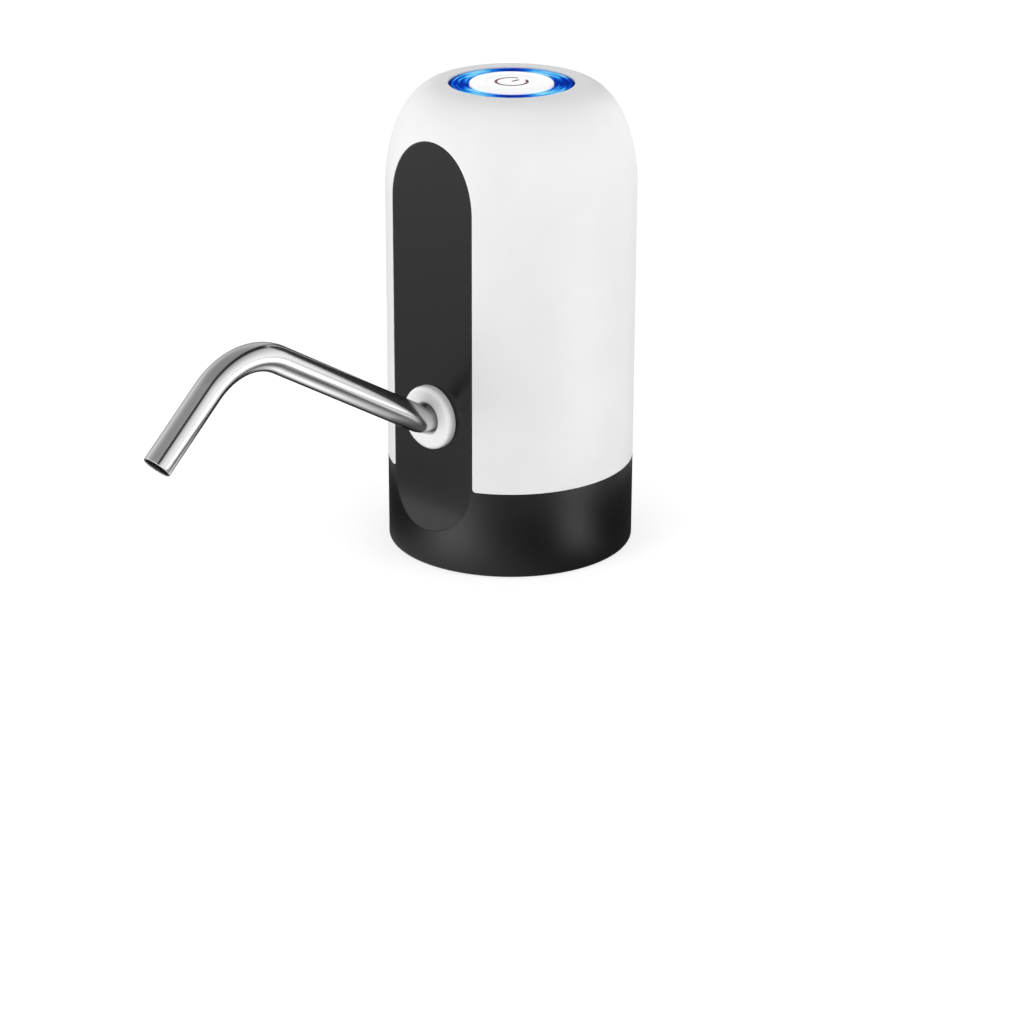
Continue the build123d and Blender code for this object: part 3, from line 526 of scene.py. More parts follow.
@dataclass(frozen=True)
class Finish:
    """A solid finish: its colour, its gloss and the fine pattern of its surface."""

    name: str  # the material's name
    colour: Colour  # the main colour, linear
    shade: Colour  # the colour that the pattern drifts to
    roughness: float = 0.4  # the middle roughness
    swing: float = 0.05  # how far the roughness drifts either way
    metallic: float = 0.0  # 1 for bare metal
    rim: float = 1.0  # share of the light that bare metal reflects at its edges
    specular: float = 0.5  # the specular level
    coat: float = 0.0  # weight of a clear gloss over it
    coat_roughness: float = 0.05  # roughness of that gloss
    translucent: float = 0.0  # weight of light let through, with the colour of a soft body
    glow: float = 0.0  # strength of light that the surface itself gives off, painted light where no lamp shines through
    pattern: Pattern = Pattern.MOULDED  # the kind of fine pattern
    scale: float = 900.0  # how fine the pattern is, per metre
    drift_width: float = 30.0  # how many times wider than the pattern the drift of the colour is
    drift_ends: Pair = (0.35, 0.6)  # values of that drift between which the shade turns into the colour
    bump: float = 0.01 * MM  # depth of the pattern in metres
    relief: float = 0.6  # strength of the bump

    def build(self) -> bpy.types.Material:
        """Makes the material.

        A noise in the piece's own space, stretched for brushed metal and turned into rings or plies
        for the others, drives the drift of the colour, the roughness and the bump.

        Returns:
            The material.
        """
        tree, shader = Tree.of_material(self.name)
        place = tree.node("TexCoord").outputs["Object"]
        drift = tree.noise(place, self.scale / self.drift_width)
        fine = self.fine_pattern(tree, place)
        bump = tree.node("Bump", Distance=self.bump, Strength=self.relief, Height=fine)
        tree.fill(shader, Base_Color=tree.ramp(drift, tuple(zip(self.drift_ends, (self.shade, self.colour)))),
                  Roughness=tree.spread(fine, self.roughness - self.swing, self.roughness + self.swing),
                  Metallic=self.metallic, Specular_IOR_Level=self.specular,
                  Specular_Tint=(self.rim, self.rim, self.rim, 1.0), Coat_Weight=self.coat,
                  Coat_Roughness=self.coat_roughness, Subsurface_Weight=self.translucent,
                  Subsurface_Radius=(1.0, 1.0, 1.0), Subsurface_Scale=MM,
                  Emission_Color=(*self.colour, 1.0), Emission_Strength=self.glow,
                  Normal=bump.outputs["Normal"])
        return tree.owner

    def fine_pattern(self, tree: Tree, place: Socket) -> Socket:
        """Makes the fine pattern of the finish.

        Noise drawn out along a direction, as polishing and turning leave it, is noise on
        coordinates that are squeezed along that direction.

        Args:
            tree: The material's nodes.
            place: The piece's own coordinates.

        Returns:
            The pattern's field, about 0 to 1.
        """
        match self.pattern:
            case Pattern.MOULDED:
                return tree.noise(place, self.scale, detail=4.0, roughness=0.6)
            case Pattern.BRUSHED:
                along = tree.node("UVMap").outputs["UV"]
                squeezed = tree.node("Mapping", Vector=along, Scale=ROUND_THE_TUBE)
            case Pattern.TURNED:
                squeezed = tree.node("Mapping", Vector=place, Scale=ROUND_THE_AXIS)
            case Pattern.LAMINATED:
                return tree.node("TexWave", Vector=place, bands_direction="Z", Scale=self.scale,
                                 Distortion=0.2).outputs["Fac"]
            case Pattern.WOVEN_BOARD:
                return tree.node("TexBrick", Vector=place, Scale=self.scale, Mortar_Size=0.02).outputs["Fac"]
        return tree.noise(squeezed.outputs["Vector"], self.scale, detail=3.0, roughness=0.7)


@dataclass(frozen=True)
class GlowingAcrylic:
    """The lit clear ring: deep blue between four bright lamps, with fine turned streaks of painted highlight.
    """

    name: str = "lit_ring"  # the material's name
    # The blue at each level: the dark rim, between the lamps, beside a lamp, over it, and its streaks, a pale
    # painted highlight.
    blues: tuple[tuple[float, Colour], ...] = (
        (0.0, (0.002, 0.010, 0.10)),
        (0.30, (0.002, 0.022, 0.26)),
        (0.50, (0.004, 0.085, 0.42)),
        (0.66, (0.04, 0.29, 0.53)),
        (0.88, (0.20, 0.46, 0.60)),
    )
    lobes: float = 4.0  # how many bright places there are round the ring
    middle: float = 0.5  # the level that the bright and the dark places lie around
    swell: float = 0.24  # how much brighter it is over a lamp
    streaks: float = 1.4  # how strong the painted highlight streaks are
    around: float = 1.6  # streaks round the ring, for each radian
    across: float = 1.0 / MM  # streaks for each metre of the radius
    grain: float = 1.3  # how fine the streaks are
    rim: Pair = (17.1 * MM, 17.6 * MM)  # radii between which the outer rim darkens
    glow: float = 0.9  # strength of the light that it gives
    roughness: float = 0.08  # the roughness of its surface

    def build(self) -> bpy.types.Material:
        """Makes the material.

        With a the angle round the axis and r the distance from it, the field is
        middle + swell cos(lobes a) + streaks (noise - 0.5) - rim(r), with a noise of
        (cos a, sin a, r) that is drawn out round the ring. The pale streaks are painted highlights.

        Returns:
            The material.
        """
        tree, shader = Tree.of_material(self.name)
        x, y, _ = tree.split(tree.node("TexCoord").outputs["Object"])
        angle = tree.maths("ARCTAN2", y, x)
        radius = tree.length(x, y)
        place = tree.node("CombineXYZ", X=tree.times(tree.maths("COSINE", angle), self.around),
                          Y=tree.times(tree.maths("SINE", angle), self.around),
                          Z=tree.times(radius, self.across))
        noise = tree.noise(place.outputs["Vector"], self.grain, detail=3.0, roughness=0.6)
        lobe = tree.maths("COSINE", tree.times(angle, self.lobes))
        level = tree.maths("ADD", tree.times(lobe, self.swell), tree.times(noise, self.streaks))
        level = tree.maths("SUBTRACT", level, self.streaks / 2 - self.middle)
        level = tree.maths("SUBTRACT", level, tree.ease(radius, self.rim))
        colour = tree.ramp(level, self.blues)
        tree.fill(shader, Base_Color=colour, Emission_Color=colour, Emission_Strength=self.glow,
                  Roughness=self.roughness, Specular_IOR_Level=0.0)
        return tree.owner


@dataclass(frozen=True)
class Streak:
    """A soft streak of light painted on the floor that only gloss and metal see."""

    way: float  # its direction from the pump, in degrees from the front
    width: float  # its half width in degrees
    strength: float  # its strength
    reach: Pair  # distances between which it starts
    fade: Pair  # distances between which it fades

    def light(self, tree: Tree, around: Socket, distance: Socket) -> Socket:
        """The streak's strength by the direction and the distance from the pump."""
        return tree.times(tree.hill(around, radians(self.way), radians(self.width)), self.strength,
                          tree.ease(distance, self.reach), tree.ease(distance, self.fade, (1.0, 0.0)))


@dataclass(frozen=True)
class StudioFloor:
    """The pale floor: it renders white where it is lit and keeps the pump's shadow.

    Gloss and metal see it dim close to the pump, a painted shade, and white far off, with painted streaks and
    a pool of light.
    """

    name: str = "studio_floor"  # the material's name
    colour: Colour = (0.55, 0.55, 0.55)  # the floor's colour
    mottle: float = 0.98  # share of that colour in the darker parts of its fine mottle
    mottle_scale: float = 40.0  # how fine the mottle is, per metre
    mottle_ends: Pair = (0.3, 0.7)  # values of the mottle between which that part turns into the colour
    roughness: float = 0.9  # the floor's roughness
    lift: float = 0.62  # strength that brings the lit floor up to white for the camera
    dimmed: float = 0.12  # share of the colour that gloss sees, a painted darkening of the floor's reflection
    near: Pair = (0.070, 0.100)  # distances over which gloss sees the floor brighten out of its painted shade close to the pump
    far: Pair = (0.15, 0.90)  # distances over which it brightens to white
    levels: Pair = (0.44, 0.56)  # the strengths that these two add
    # The painted streaks of light; two near ones for the band's highlights and two far ones for the shell's.
    streaks: tuple[Streak, ...] = (
        Streak(2.0, 14.0, 1.35, (0.036, 0.070), (0.060, 0.110)),
        Streak(90.0, 10.0, 1.35, (0.036, 0.070), (0.060, 0.110)),
        Streak(-2.0, 9.0, 2.0, (0.11, 0.18), (0.30, 0.80)),
        Streak(104.0, 14.0, 3.5, (0.09, 0.15), (0.25, 0.70)),
    )
    pool: Place = (0.012, -0.050, 0.8)  # place and strength of the pool of light painted under the spout
    pool_size: Pair = (0.020, 0.028)  # half widths of that pool

    def mirrored_light(self, tree: Tree, x: Socket, y: Socket) -> Socket:
        """The floor's painted light and shade for gloss and metal, by the distance and direction from the
        pump.

        Args:
            tree: The floor's nodes.
            x: Place across.
            y: Place towards the back.

        Returns:
            The strength.
        """
        distance = tree.length(x, y)
        around = tree.maths("ARCTAN2", x, tree.times(y, -1.0))
        level = tree.maths("ADD", tree.ease(distance, self.near, (0.0, self.levels[0])),
                           tree.ease(distance, self.far, (0.0, self.levels[1])))
        for streak in self.streaks:
            level = tree.maths("ADD", level, streak.light(tree, around, distance))
        pool = tree.times(tree.hill(x, self.pool[0], self.pool_size[0]),
                          tree.hill(y, self.pool[1], self.pool_size[1]), self.pool[2])
        return tree.maths("ADD", level, pool)

    def build(self) -> bpy.types.Material:
        """Makes the floor's material: matt and pale, with its own level for each kind of ray.

        Returns:
            The material.
        """
        tree, shader = Tree.of_material(self.name)
        place = tree.node("TexCoord").outputs["Object"]
        mottle = tree.noise(place, self.mottle_scale)
        darker = tuple(self.mottle * channel for channel in self.colour)
        seen, shiny = tree.shiny_rays()
        dim = tree.node("Mix", data_type="RGBA", blend_type="MULTIPLY")
        mottled = tree.ramp(mottle, tuple(zip(self.mottle_ends, (darker, self.colour))))
        # Inputs 0, 6 and 7 are this node's factor and its two colours, and output 2 is their mix.
        for number, value in ((0, shiny), (6, mottled), (7, (self.dimmed, self.dimmed, self.dimmed, 1.0))):
            tree.feed(dim.inputs[number], value)
        x, y, _ = tree.split(place)
        level = tree.maths("ADD", tree.times(seen, self.lift),
                           tree.times(shiny, self.mirrored_light(tree, x, y)))
        tree.fill(shader, Base_Color=dim.outputs[2], Roughness=self.roughness, Specular_IOR_Level=0.0,
                  Emission_Color=WHITE, Emission_Strength=level)
        return tree.owner


WHITE_SHELL = Finish("satin_white", (0.80, 0.80, 0.805), (0.78, 0.78, 0.79), 0.42, 0.03, specular=0.45,
                     scale=1500.0, bump=0.004 * MM)
BLACK_SHELL = Finish("gloss_black", (0.004, 0.004, 0.004), (0.0035, 0.0035, 0.0035), 0.26, 0.02,
                     scale=1400.0, bump=0.0005 * MM)
WHITE_PLUG = Finish("gloss_white_collar", (0.88, 0.88, 0.88), (0.86, 0.86, 0.86), 0.22, 0.02,
                    coat=0.3, scale=1200.0, bump=0.003 * MM)
# The button's glow is painted light: it brightens the button, and no lamp lights it from behind.
WHITE_BUTTON = Finish("gloss_white_button", (0.88, 0.88, 0.89), (0.86, 0.87, 0.89), 0.25, 0.02,
                      glow=0.20, scale=1200.0, bump=0.003 * MM)
POLISHED_STEEL = Finish("polished_steel", (0.66, 0.66, 0.665), (0.62, 0.62, 0.63), 0.17, 0.05, metallic=1.0,
                        rim=0.25, pattern=Pattern.BRUSHED, scale=450.0, bump=0.002 * MM)
SIGN_INK = Finish("sign_ink", (0.16, 0.005, 0.045), (0.12, 0.004, 0.035), 0.4, 0.05, specular=0.1,
                  scale=2500.0)


def bare_metal(name: str, colour: Colour, shade: Colour, roughness: float, scale: float) -> Finish:
    """Metal with the fine rings that turning or drawing leaves."""
    return Finish(name, colour, shade, roughness, metallic=1.0, pattern=Pattern.TURNED, scale=scale)


def laminate(name: str, scale: float) -> Finish:
    """A green printed board, with a glossy mask over its weave."""
    return Finish(name, (0.02, 0.16, 0.06), (0.016, 0.13, 0.05), 0.4, coat=0.4,
                  pattern=Pattern.WOVEN_BOARD, scale=scale)


def silicone(name: str) -> Finish:
    """The milky rubber of a water hose."""
    return Finish(name, (0.72, 0.72, 0.70), (0.66, 0.66, 0.64), 0.34, translucent=0.5)


NODE_FINISHES: dict[str, Finish] = {
    "neck_socket": replace(BLACK_SHELL, name="socket_black", roughness=0.32, scale=1200.0),
    "neck_grip_ring": Finish("grip_rubber", (0.03, 0.03, 0.032), (0.022, 0.022, 0.024), 0.7, 0.08,
                             specular=0.3, scale=2200.0, bump=0.02 * MM),
    "collar_seals": Finish("seal_rubber", (0.35, 0.36, 0.36), (0.30, 0.31, 0.31), 0.5, 0.06,
                           translucent=0.2, scale=2000.0),
    "outlet_socket": Finish("outlet_plastic", (0.045, 0.046, 0.048), (0.035, 0.036, 0.038), 0.42),
    "outlet_hose": silicone("hose_silicone"),
    "inlet_hose": silicone("inlet_silicone"),
    "head_cover": Finish("pump_head", (0.55, 0.55, 0.53), (0.50, 0.50, 0.48), 0.45),
    "valve_plate": Finish("pump_plate", (0.50, 0.50, 0.48), (0.46, 0.46, 0.44), 0.45),
    "check_valves": Finish("valve_rubber", (0.12, 0.06, 0.04), (0.09, 0.045, 0.03), 0.55, scale=2500.0),
    "diaphragm": Finish("diaphragm_rubber", (0.05, 0.05, 0.05), (0.04, 0.04, 0.04), 0.6, scale=2000.0),
    "crank_case": Finish("crank_plastic", (0.05, 0.05, 0.052), (0.04, 0.04, 0.042), 0.48),
    "pump_screws": bare_metal("pump_screw_zinc", (0.60, 0.60, 0.58), (0.52, 0.52, 0.50), 0.3, 9000.0),
    "wobble_plate": Finish("wobble_acetal", (0.70, 0.70, 0.68), (0.64, 0.64, 0.62), 0.38),
    "crank_disc": bare_metal("crank_brass", (0.62, 0.45, 0.20), (0.55, 0.38, 0.16), 0.3, 6000.0),
    "motor_shaft": bare_metal("shaft_steel", (0.55, 0.55, 0.56), (0.50, 0.50, 0.51), 0.2, 8000.0),
    "motor_can": bare_metal("can_zinc", (0.56, 0.57, 0.58), (0.50, 0.51, 0.52), 0.36, 3000.0),
    "motor_magnets": Finish("ferrite", (0.05, 0.05, 0.055), (0.035, 0.035, 0.04), 0.6, scale=1800.0),
    "motor_rotor": Finish("rotor_plies", (0.35, 0.34, 0.33), (0.25, 0.24, 0.23), 0.45, metallic=0.8,
                          pattern=Pattern.LAMINATED, scale=700.0),
    "motor_end_cap": Finish("end_cap_nylon", (0.62, 0.62, 0.60), (0.56, 0.56, 0.54), 0.5),
    "motor_brushes": bare_metal("brush_copper", (0.70, 0.36, 0.20), (0.60, 0.30, 0.16), 0.3, 7000.0),
    "battery_cell": Finish("cell_sleeve", (0.03, 0.16, 0.42), (0.025, 0.13, 0.36), 0.3, coat=0.5),
    "battery_tabs": bare_metal("tab_nickel", (0.60, 0.58, 0.52), (0.54, 0.52, 0.46), 0.3, 5000.0),
    "battery_strap": Finish("strap_nylon", (0.04, 0.04, 0.042), (0.03, 0.03, 0.032), 0.5),
    "chassis": Finish("chassis_plastic", (0.10, 0.10, 0.105), (0.085, 0.085, 0.09), 0.5),
    "base_screws": bare_metal("base_screw_steel", (0.42, 0.42, 0.42), (0.34, 0.34, 0.34), 0.34, 9000.0),
    "charge_board": laminate("charge_laminate", 1500.0),
    "charge_socket": bare_metal("port_steel", (0.62, 0.62, 0.62), (0.55, 0.55, 0.55), 0.26, 7000.0),
    "control_board": laminate("board_laminate", 1200.0),
    "board_screws": bare_metal("board_screw_steel", (0.58, 0.58, 0.57), (0.50, 0.50, 0.49), 0.32, 9000.0),
    "tact_switch": Finish("switch_body", (0.04, 0.04, 0.04), (0.03, 0.03, 0.03), 0.42),
    "switch_plunger": Finish("switch_plunger", (0.45, 0.03, 0.03), (0.38, 0.025, 0.025), 0.4),
    "ring_leds": Finish("lamp_body", (0.75, 0.72, 0.50), (0.70, 0.66, 0.44), 0.3, coat=0.6),
    "motor_leads": Finish("lead_red", (0.45, 0.02, 0.02), (0.38, 0.018, 0.018), 0.45),
    "charge_leads": Finish("lead_black", (0.03, 0.03, 0.03), (0.022, 0.022, 0.022), 0.45),
    "battery_lead": Finish("lead_orange", (0.55, 0.12, 0.02), (0.46, 0.10, 0.018), 0.45),
}


# The pump's pieces


@dataclass
class Outline:
    """The outline that the white shell, the black base and the panel share."""

    radius: float = 36.0 * MM  # radius of the round wall
    top: float = 136.8 * MM  # height of the flat rim
    spring: float = 106.9 * MM  # height at which the shoulder starts
    rim: float = 20.0 * MM  # radius of the flat rim
    front: float = FRONT  # distance of the flat front from the axis
    seam: float = 25.7 * MM  # height of the seam between the black band and the white shell
    sweep: float = 38.0 * MM  # radius of the curve that leads the flat front out to the band
    sweep_start: float = 27.0 * MM  # height at which that curve starts
    columns: int = 240  # columns round the housing

    @classmethod
    def from_frame(cls) -> "Outline":
        """Takes the radius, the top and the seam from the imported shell."""
        low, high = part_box("upper_shell")
        return cls(radius=high.y, top=high.z, spring=high.z - (cls.top - cls.spring), seam=low.z)

    def wall(self, z: Array, inset: float = 0.0, lowered: bool = True) -> Array:
        """The housing's radius at each height, for a surface that lies a distance inside.

        Below the shoulder it is constant, and above it an ellipse's quarter from the wall to the rim.

        Args:
            z: The heights.
            inset: How far inside the outer surface it lies.
            lowered: Whether its top lies lower by as much.

        Returns:
            The radius at each height.
        """
        rise = self.top - self.spring - inset * lowered
        share = np.clip((z - self.spring) / rise, 0.0, 1.0)
        return self.rim + (self.radius - inset - self.rim) * np.sqrt(1 - share ** 2)

    def wall_height(self, radius: float, inset: float = 0.0, lowered: bool = True) -> float:
        """The height at which the shoulder, a distance inside, has a radius."""
        share = (radius - self.rim) / (self.radius - inset - self.rim)
        return self.spring + (self.top - self.spring - inset * lowered) * sqrt(1 - share ** 2)

    def face(self, z: Array) -> Array:
        """Y of the front face at each height: flat, then an arc that sweeps forwards near the foot."""
        drop = np.clip(self.sweep_start - z, 0.0, None)
        return -self.front - self.sweep + np.sqrt(self.sweep ** 2 - drop ** 2)

    def face_height(self, reach: float) -> float:
        """The height at which the swept face is a distance in front of the axis."""
        return self.sweep_start - sqrt(self.sweep ** 2 - (self.sweep + self.front - reach) ** 2)


def half_width(radius: Array | float, depth: Array | float) -> Array:
    """Half the chord of a circle at a depth from its centre, or 0 outside it."""
    return np.sqrt(np.clip(np.asarray(radius) ** 2 - np.asarray(depth) ** 2, 0.0, None))


def round_wall(z: Array | float, radius: Array | float, columns: int,
               opening: Array | float = 0.0) -> Array:
    """Points of an upright wall that may be open at the front.

    A column at share t lies at the angle a = opening + t (2 pi - 2 opening) from the front, at
    (r sin a, -r cos a, z).

    Args:
        z: Height of each row.
        radius: Radius of each row.
        columns: Number of faces round the wall.
        opening: Half angle left open at the front of each row.

    Returns:
        Points of shape (rows, columns + 1, 3).
    """
    z, radius, opening = (values[:, None] for values in np.broadcast_arrays(z, radius, opening))
    angle = opening + steps(columns) * (2 * pi - 2 * opening)
    return spot(radius * np.sin(angle), -radius * np.cos(angle), z)


def both_sides(points: Array, flip: bool = False) -> list[Sheet]:
    """A sheet on the right of the front and its mirror image on the left."""
    return [Sheet(points, flip=flip), Sheet(points * np.array([-1.0, 1.0, 1.0]), flip=not flip)]


def on_cylinder(points: Array, radius: float) -> Array:
    """Lays (x, z) points on the rear of an upright cylinder, at y = sqrt(radius^2 - x^2)."""
    return spot(points[..., 0], np.sqrt(radius ** 2 - points[..., 0] ** 2), points[..., 1])


@dataclass(frozen=True)
class RoundHole:
    """The outlet's round hole through a flat upright wall, framed by a block of the wall's grid."""

    radius: float  # radius of the hole
    height: float = OUTLET_HEIGHT  # height of its middle
    block: float = 12.0 * MM  # half height of the wall's stretch that is drawn round it
    loops: int = 10  # loops of faces from the block's grid lines to the hole

    def circle(self, counts: tuple[int, int], y: float, grow: float = 0.0) -> Array:
        """The hole's edge at a depth, one point for each grid line of the block.

        Args:
            counts: Faces across and up the block.
            y: The depth.
            grow: How much wider than the hole it is.

        Returns:
            Points of shape (n, 3).
        """
        half = self.radius + grow
        loop = oval_loop(counts, (0.0, self.height), (half, half), power=2.0)
        return spot(loop[:, 0], y, loop[:, 1])

    def pierced(self, points: Array, grow: float = 0.0, flip: bool = False,
                margin: int = 0) -> tuple[list[Sheet], tuple[int, int]]:
        """A flat wall's face with a block of its grid left out and drawn anew round the hole.

        The frame's loops go evenly from the block's grid lines to the circle.

        Args:
            points: The wall's points.
            grow: How much wider than the hole the circle is.
            flip: Whether the face looks to the inside.
            margin: Columns at each side that the block leaves alone.

        Returns:
            The face and the frame, and the faces across and up the frame.
        """
        held = np.flatnonzero(np.abs(points[:, 0, 2] - self.height) < self.block + HAIR)
        wide, y = points.shape[1] - margin, points[held[0], 0, 1]
        across, up = points[held[0], margin:wide, 0], points[held, 0, 2]
        drop = np.zeros((points.shape[0] - 1, points.shape[1] - 1), bool)
        drop[held[0]:held[-1], margin:wide - 1] = True
        counts = (len(across) - 1, len(up) - 1)
        outside = rectangle_loop(across, up)
        frame_round = between(spot(outside[:, 0], y, outside[:, 1]), self.circle(counts, y, grow), self.loops)
        return [Sheet(points, flip=flip, drop=drop), Sheet(frame_round, wrap=True, flip=flip)], counts


@dataclass
class WhiteShell:
    """The white upper shell, with the recess for the panel and the charging slot at the rear."""

    outline: Outline  # the housing's shared outline
    wall: float = 2.0 * MM  # thickness of the wall
    gap: float = 0.05 * MM  # space between the shell and the black base
    recess: float = 1.65 * MM  # depth of the panel's recess
    edge: float = 0.14 * MM  # set-back of the rounded edge round the recess, measured along Y
    edge_depth: float = 2.2  # depth of that edge, as a multiple of its set-back
    corner: float = 1.0 * MM  # radius of the shell's two lower front corners
    opening: float = 18.0 * MM  # radius of the hole for the light ring
    lip: float = 0.25 * MM  # rounding of that hole's edge
    slot: Pair = (4.15 * MM, 1.75 * MM)  # half width and half height of the charging slot
    slot_height: float = 41.35 * MM  # height of the slot's middle
    slot_power: float = 6.0  # how square the slot's ends are
    slot_edge: float = 0.25 * MM  # rounding of the slot's edge
    slot_reach: float = 4.0 * MM  # half height of the wall's stretch that makes room for the slot
    slot_columns: int = 9  # columns of that stretch to each side of the rear
    slot_loops: int = 8  # loops of faces from that stretch to the slot
    outlet: RoundHole = RoundHole(8.05 * MM)  # hole for the outlet in the flat wall behind the panel
    across: int = 16  # columns across the flat wall
    # Rows over the lower corner, up to the slot, beside it, up to the shoulder, and over that.
    rises: tuple[int, ...] = (8, 8, 8, 30, 26)
    dome_rows: int = 26  # rows from the tip of the arch to the top

    def rows(self, apex: float) -> Array:
        """Heights of the rows from the seam to the tip of the arch, close together at both ends.

        Args:
            apex: Height of the tip.

        Returns:
            The heights.
        """
        corner, *middle, over = self.rises
        foot, spring = self.outline.seam + self.gap, self.outline.spring
        rounding = foot + self.corner * (1 - np.sin(pi / 2 * (1 - steps(corner))))
        low, high = self.slot_height - self.slot_reach, self.slot_height + self.slot_reach
        return lines(rounding, even_runs((rounding[-1], low, high, spring), middle),
                     dense_at_stop(spring, apex, over))

    def corner_shift(self, z: Array) -> Array:
        """How far the lower front corner's rounding moves the edge along the wall, at each height."""
        left = np.clip(1 - (z - z[0]) / self.corner, 0.0, 1.0)
        return self.corner * (1 - np.sqrt(1 - left ** 2))

    def arch(self, setback: float, inset: float = 0.0) -> tuple[Array, Array]:
        """The arch where the wall meets a plane behind the flat front.

        Args:
            setback: How far behind the flat front the plane lies.
            inset: How far inside the outer surface the wall lies.

        Returns:
            The heights of the rows and the half angle of the opening at each.
        """
        plane = self.outline.front - setback
        z = self.rows(self.outline.wall_height(plane, inset))
        radius = self.outline.wall(z, inset)
        shift = self.corner_shift(z) if inset == 0 else 0.0
        angle = np.arccos(np.clip(plane / radius, -1, 1)) + shift / radius
        angle[-1] = 0.0
        return z, angle

    def dome(self, start: float, inset: float) -> tuple[Array, Array]:
        """The shoulder from a height to its top, in even steps round the ellipse.

        Args:
            start: The height that it starts at.
            inset: How far inside the outer surface it lies.

        Returns:
            The height and the radius of each row.
        """
        rise = self.outline.top - self.outline.spring - inset
        turn = spaced(asin((start - self.outline.spring) / rise), pi / 2, self.dome_rows)
        radius = self.outline.rim + (self.outline.radius - inset - self.outline.rim) * np.cos(turn)
        return self.outline.spring + rise * np.sin(turn), radius

    def rear_window(self, points: Array, radius: float, inwards: bool) -> tuple[Array, list[Sheet]]:
        """Leaves room for the slot at the rear of a wall and fills it with a frame round the slot.

        The frame's loops go evenly from the block's grid lines to the slot's oval, at
        y = sqrt(radius^2 - x^2).

        Args:
            points: The wall's points.
            radius: The wall's radius there.
            inwards: Whether the wall faces the inside.

        Returns:
            The faces to leave out of the wall, and the frame's sheets.
        """
        middle = points.shape[1] // 2
        rows = np.flatnonzero(np.abs(points[:, middle, 2] - self.slot_height) < self.slot_reach + HAIR)
        columns = np.arange(middle - self.slot_columns, middle + self.slot_columns + 1)
        drop = np.zeros((points.shape[0] - 1, points.shape[1] - 1), bool)
        drop[rows[0]:rows[-1], columns[0]:columns[-1]] = True
        outside = rectangle_loop(points[rows[0], columns[::-1], 0], points[rows, middle, 2])
        counts, centre = (len(columns) - 1, len(rows) - 1), (0.0, self.slot_height)
        tight = oval_loop(counts, centre, self.slot, self.slot_power)
        if inwards:
            return drop, [Sheet(on_cylinder(between(outside, tight, self.slot_loops), radius), wrap=True)]
        half = (self.slot[0] + self.slot_edge, self.slot[1] + self.slot_edge)
        wide = oval_loop(counts, centre, half, self.slot_power)
        corner = on_cylinder(tight, radius)
        inner = behind(corner, -self.slot_edge)
        rings = (on_cylinder(between(outside, wide, self.slot_loops), radius),
                 soft_corner(on_cylinder(wide, radius), corner, inner).swapaxes(0, 1),
                 np.stack([inner, on_cylinder(tight, radius - self.wall)]))
        return drop, [Sheet(ring, wrap=True, flip=True) for ring in rings]

    def outside(self) -> tuple[list[Sheet], Array]:
        """The outer surface with the rounded edge, walls and floor of the panel's recess.

        Returns:
            The sheets, and the edge's points on the right at the seam, from the wall to the floor.
        """
        out = self.outline
        z, angle = self.arch(self.edge)
        low = round_wall(z, out.wall(z), out.columns, angle)
        dome_z, dome_r = self.dome(z[-1], 0.0)
        lip = rounded([(out.rim, out.top), (self.opening, out.top), (self.opening, out.top - self.wall)],
                      {1: self.lip})[1:]
        upper = round_wall(np.append(dome_z, lip[:, 1]), np.append(dome_r, lip[:, 0]), out.columns)
        drop, window = self.rear_window(low, out.radius, False)
        corner_z, corner_angle = self.arch(0.0)
        corner_r = out.wall(corner_z)
        corner = spot(corner_r * np.sin(corner_angle), -corner_r * np.cos(corner_angle), corner_z)
        inner = behind(corner, self.edge_depth * self.edge)
        strip = soft_corner(low[:, 0], corner, inner)
        floor_y = -out.front + self.recess
        back = spot(inner[:, 0], floor_y, inner[:, 2])
        floor, counts = self.outlet.pierced(self.flat_wall(back))
        tunnel = np.stack([self.outlet.circle(counts, y) for y in (floor_y, floor_y + self.wall)])
        sheets = [Sheet(low, drop=drop), Sheet(upper), *window, *both_sides(strip, True),
                  *both_sides(np.stack([inner, back], 1), True), *floor, Sheet(tunnel, wrap=True)]
        return sheets, np.concatenate([strip[0], back[:1]])

    def flat_wall(self, edge: Array) -> Array:
        """Points of the flat wall behind the panel, spread across from its edge on the right."""
        return spot(edge[:, 0, None] * spaced(-1.0, 1.0, self.across), edge[:, 1, None], edge[:, 2, None])

    def inside(self) -> tuple[list[Sheet], Array, Array]:
        """The inner surface: the round wall, the dome and the flat wall behind the recess.

        Returns:
            The sheets, the wall's points at the seam, and the flat wall's.
        """
        out = self.outline
        back = self.recess + self.wall
        z, angle = self.arch(back, self.wall)
        low = round_wall(z, out.wall(z, self.wall), out.columns, angle)
        dome_z, dome_r = self.dome(z[-1], self.wall)
        upper = round_wall(np.append(dome_z, dome_z[-1]), np.append(dome_r, self.opening), out.columns)
        drop, window = self.rear_window(low, out.radius - self.wall, True)
        flat = self.flat_wall(spot(low[:, 0, 0], -out.front + back, z))
        sheets = [Sheet(low, flip=True, drop=drop), Sheet(upper, flip=True), *window,
                  *self.outlet.pierced(flat, flip=True)[0]]
        return sheets, low[0], flat[0]

    def build(self) -> None:
        """Makes the shell and dresses it."""
        outer, edge = self.outside()
        inner, inner_wall, inner_flat = self.inside()
        corner = np.broadcast_to(inner_wall[0], edge.shape)
        floor = self.flat_wall(edge[-1:])[0]
        piece = Piece("white_shell", Body.HOUSING, "white_shell", ("upper_shell",))
        piece.build(WHITE_SHELL.build(), *outer, *inner, Sheet(np.stack([inner_wall, outer[0].points[0]])),
                    Sheet(np.stack([inner_flat, floor])), *both_sides(np.stack([edge, corner])))


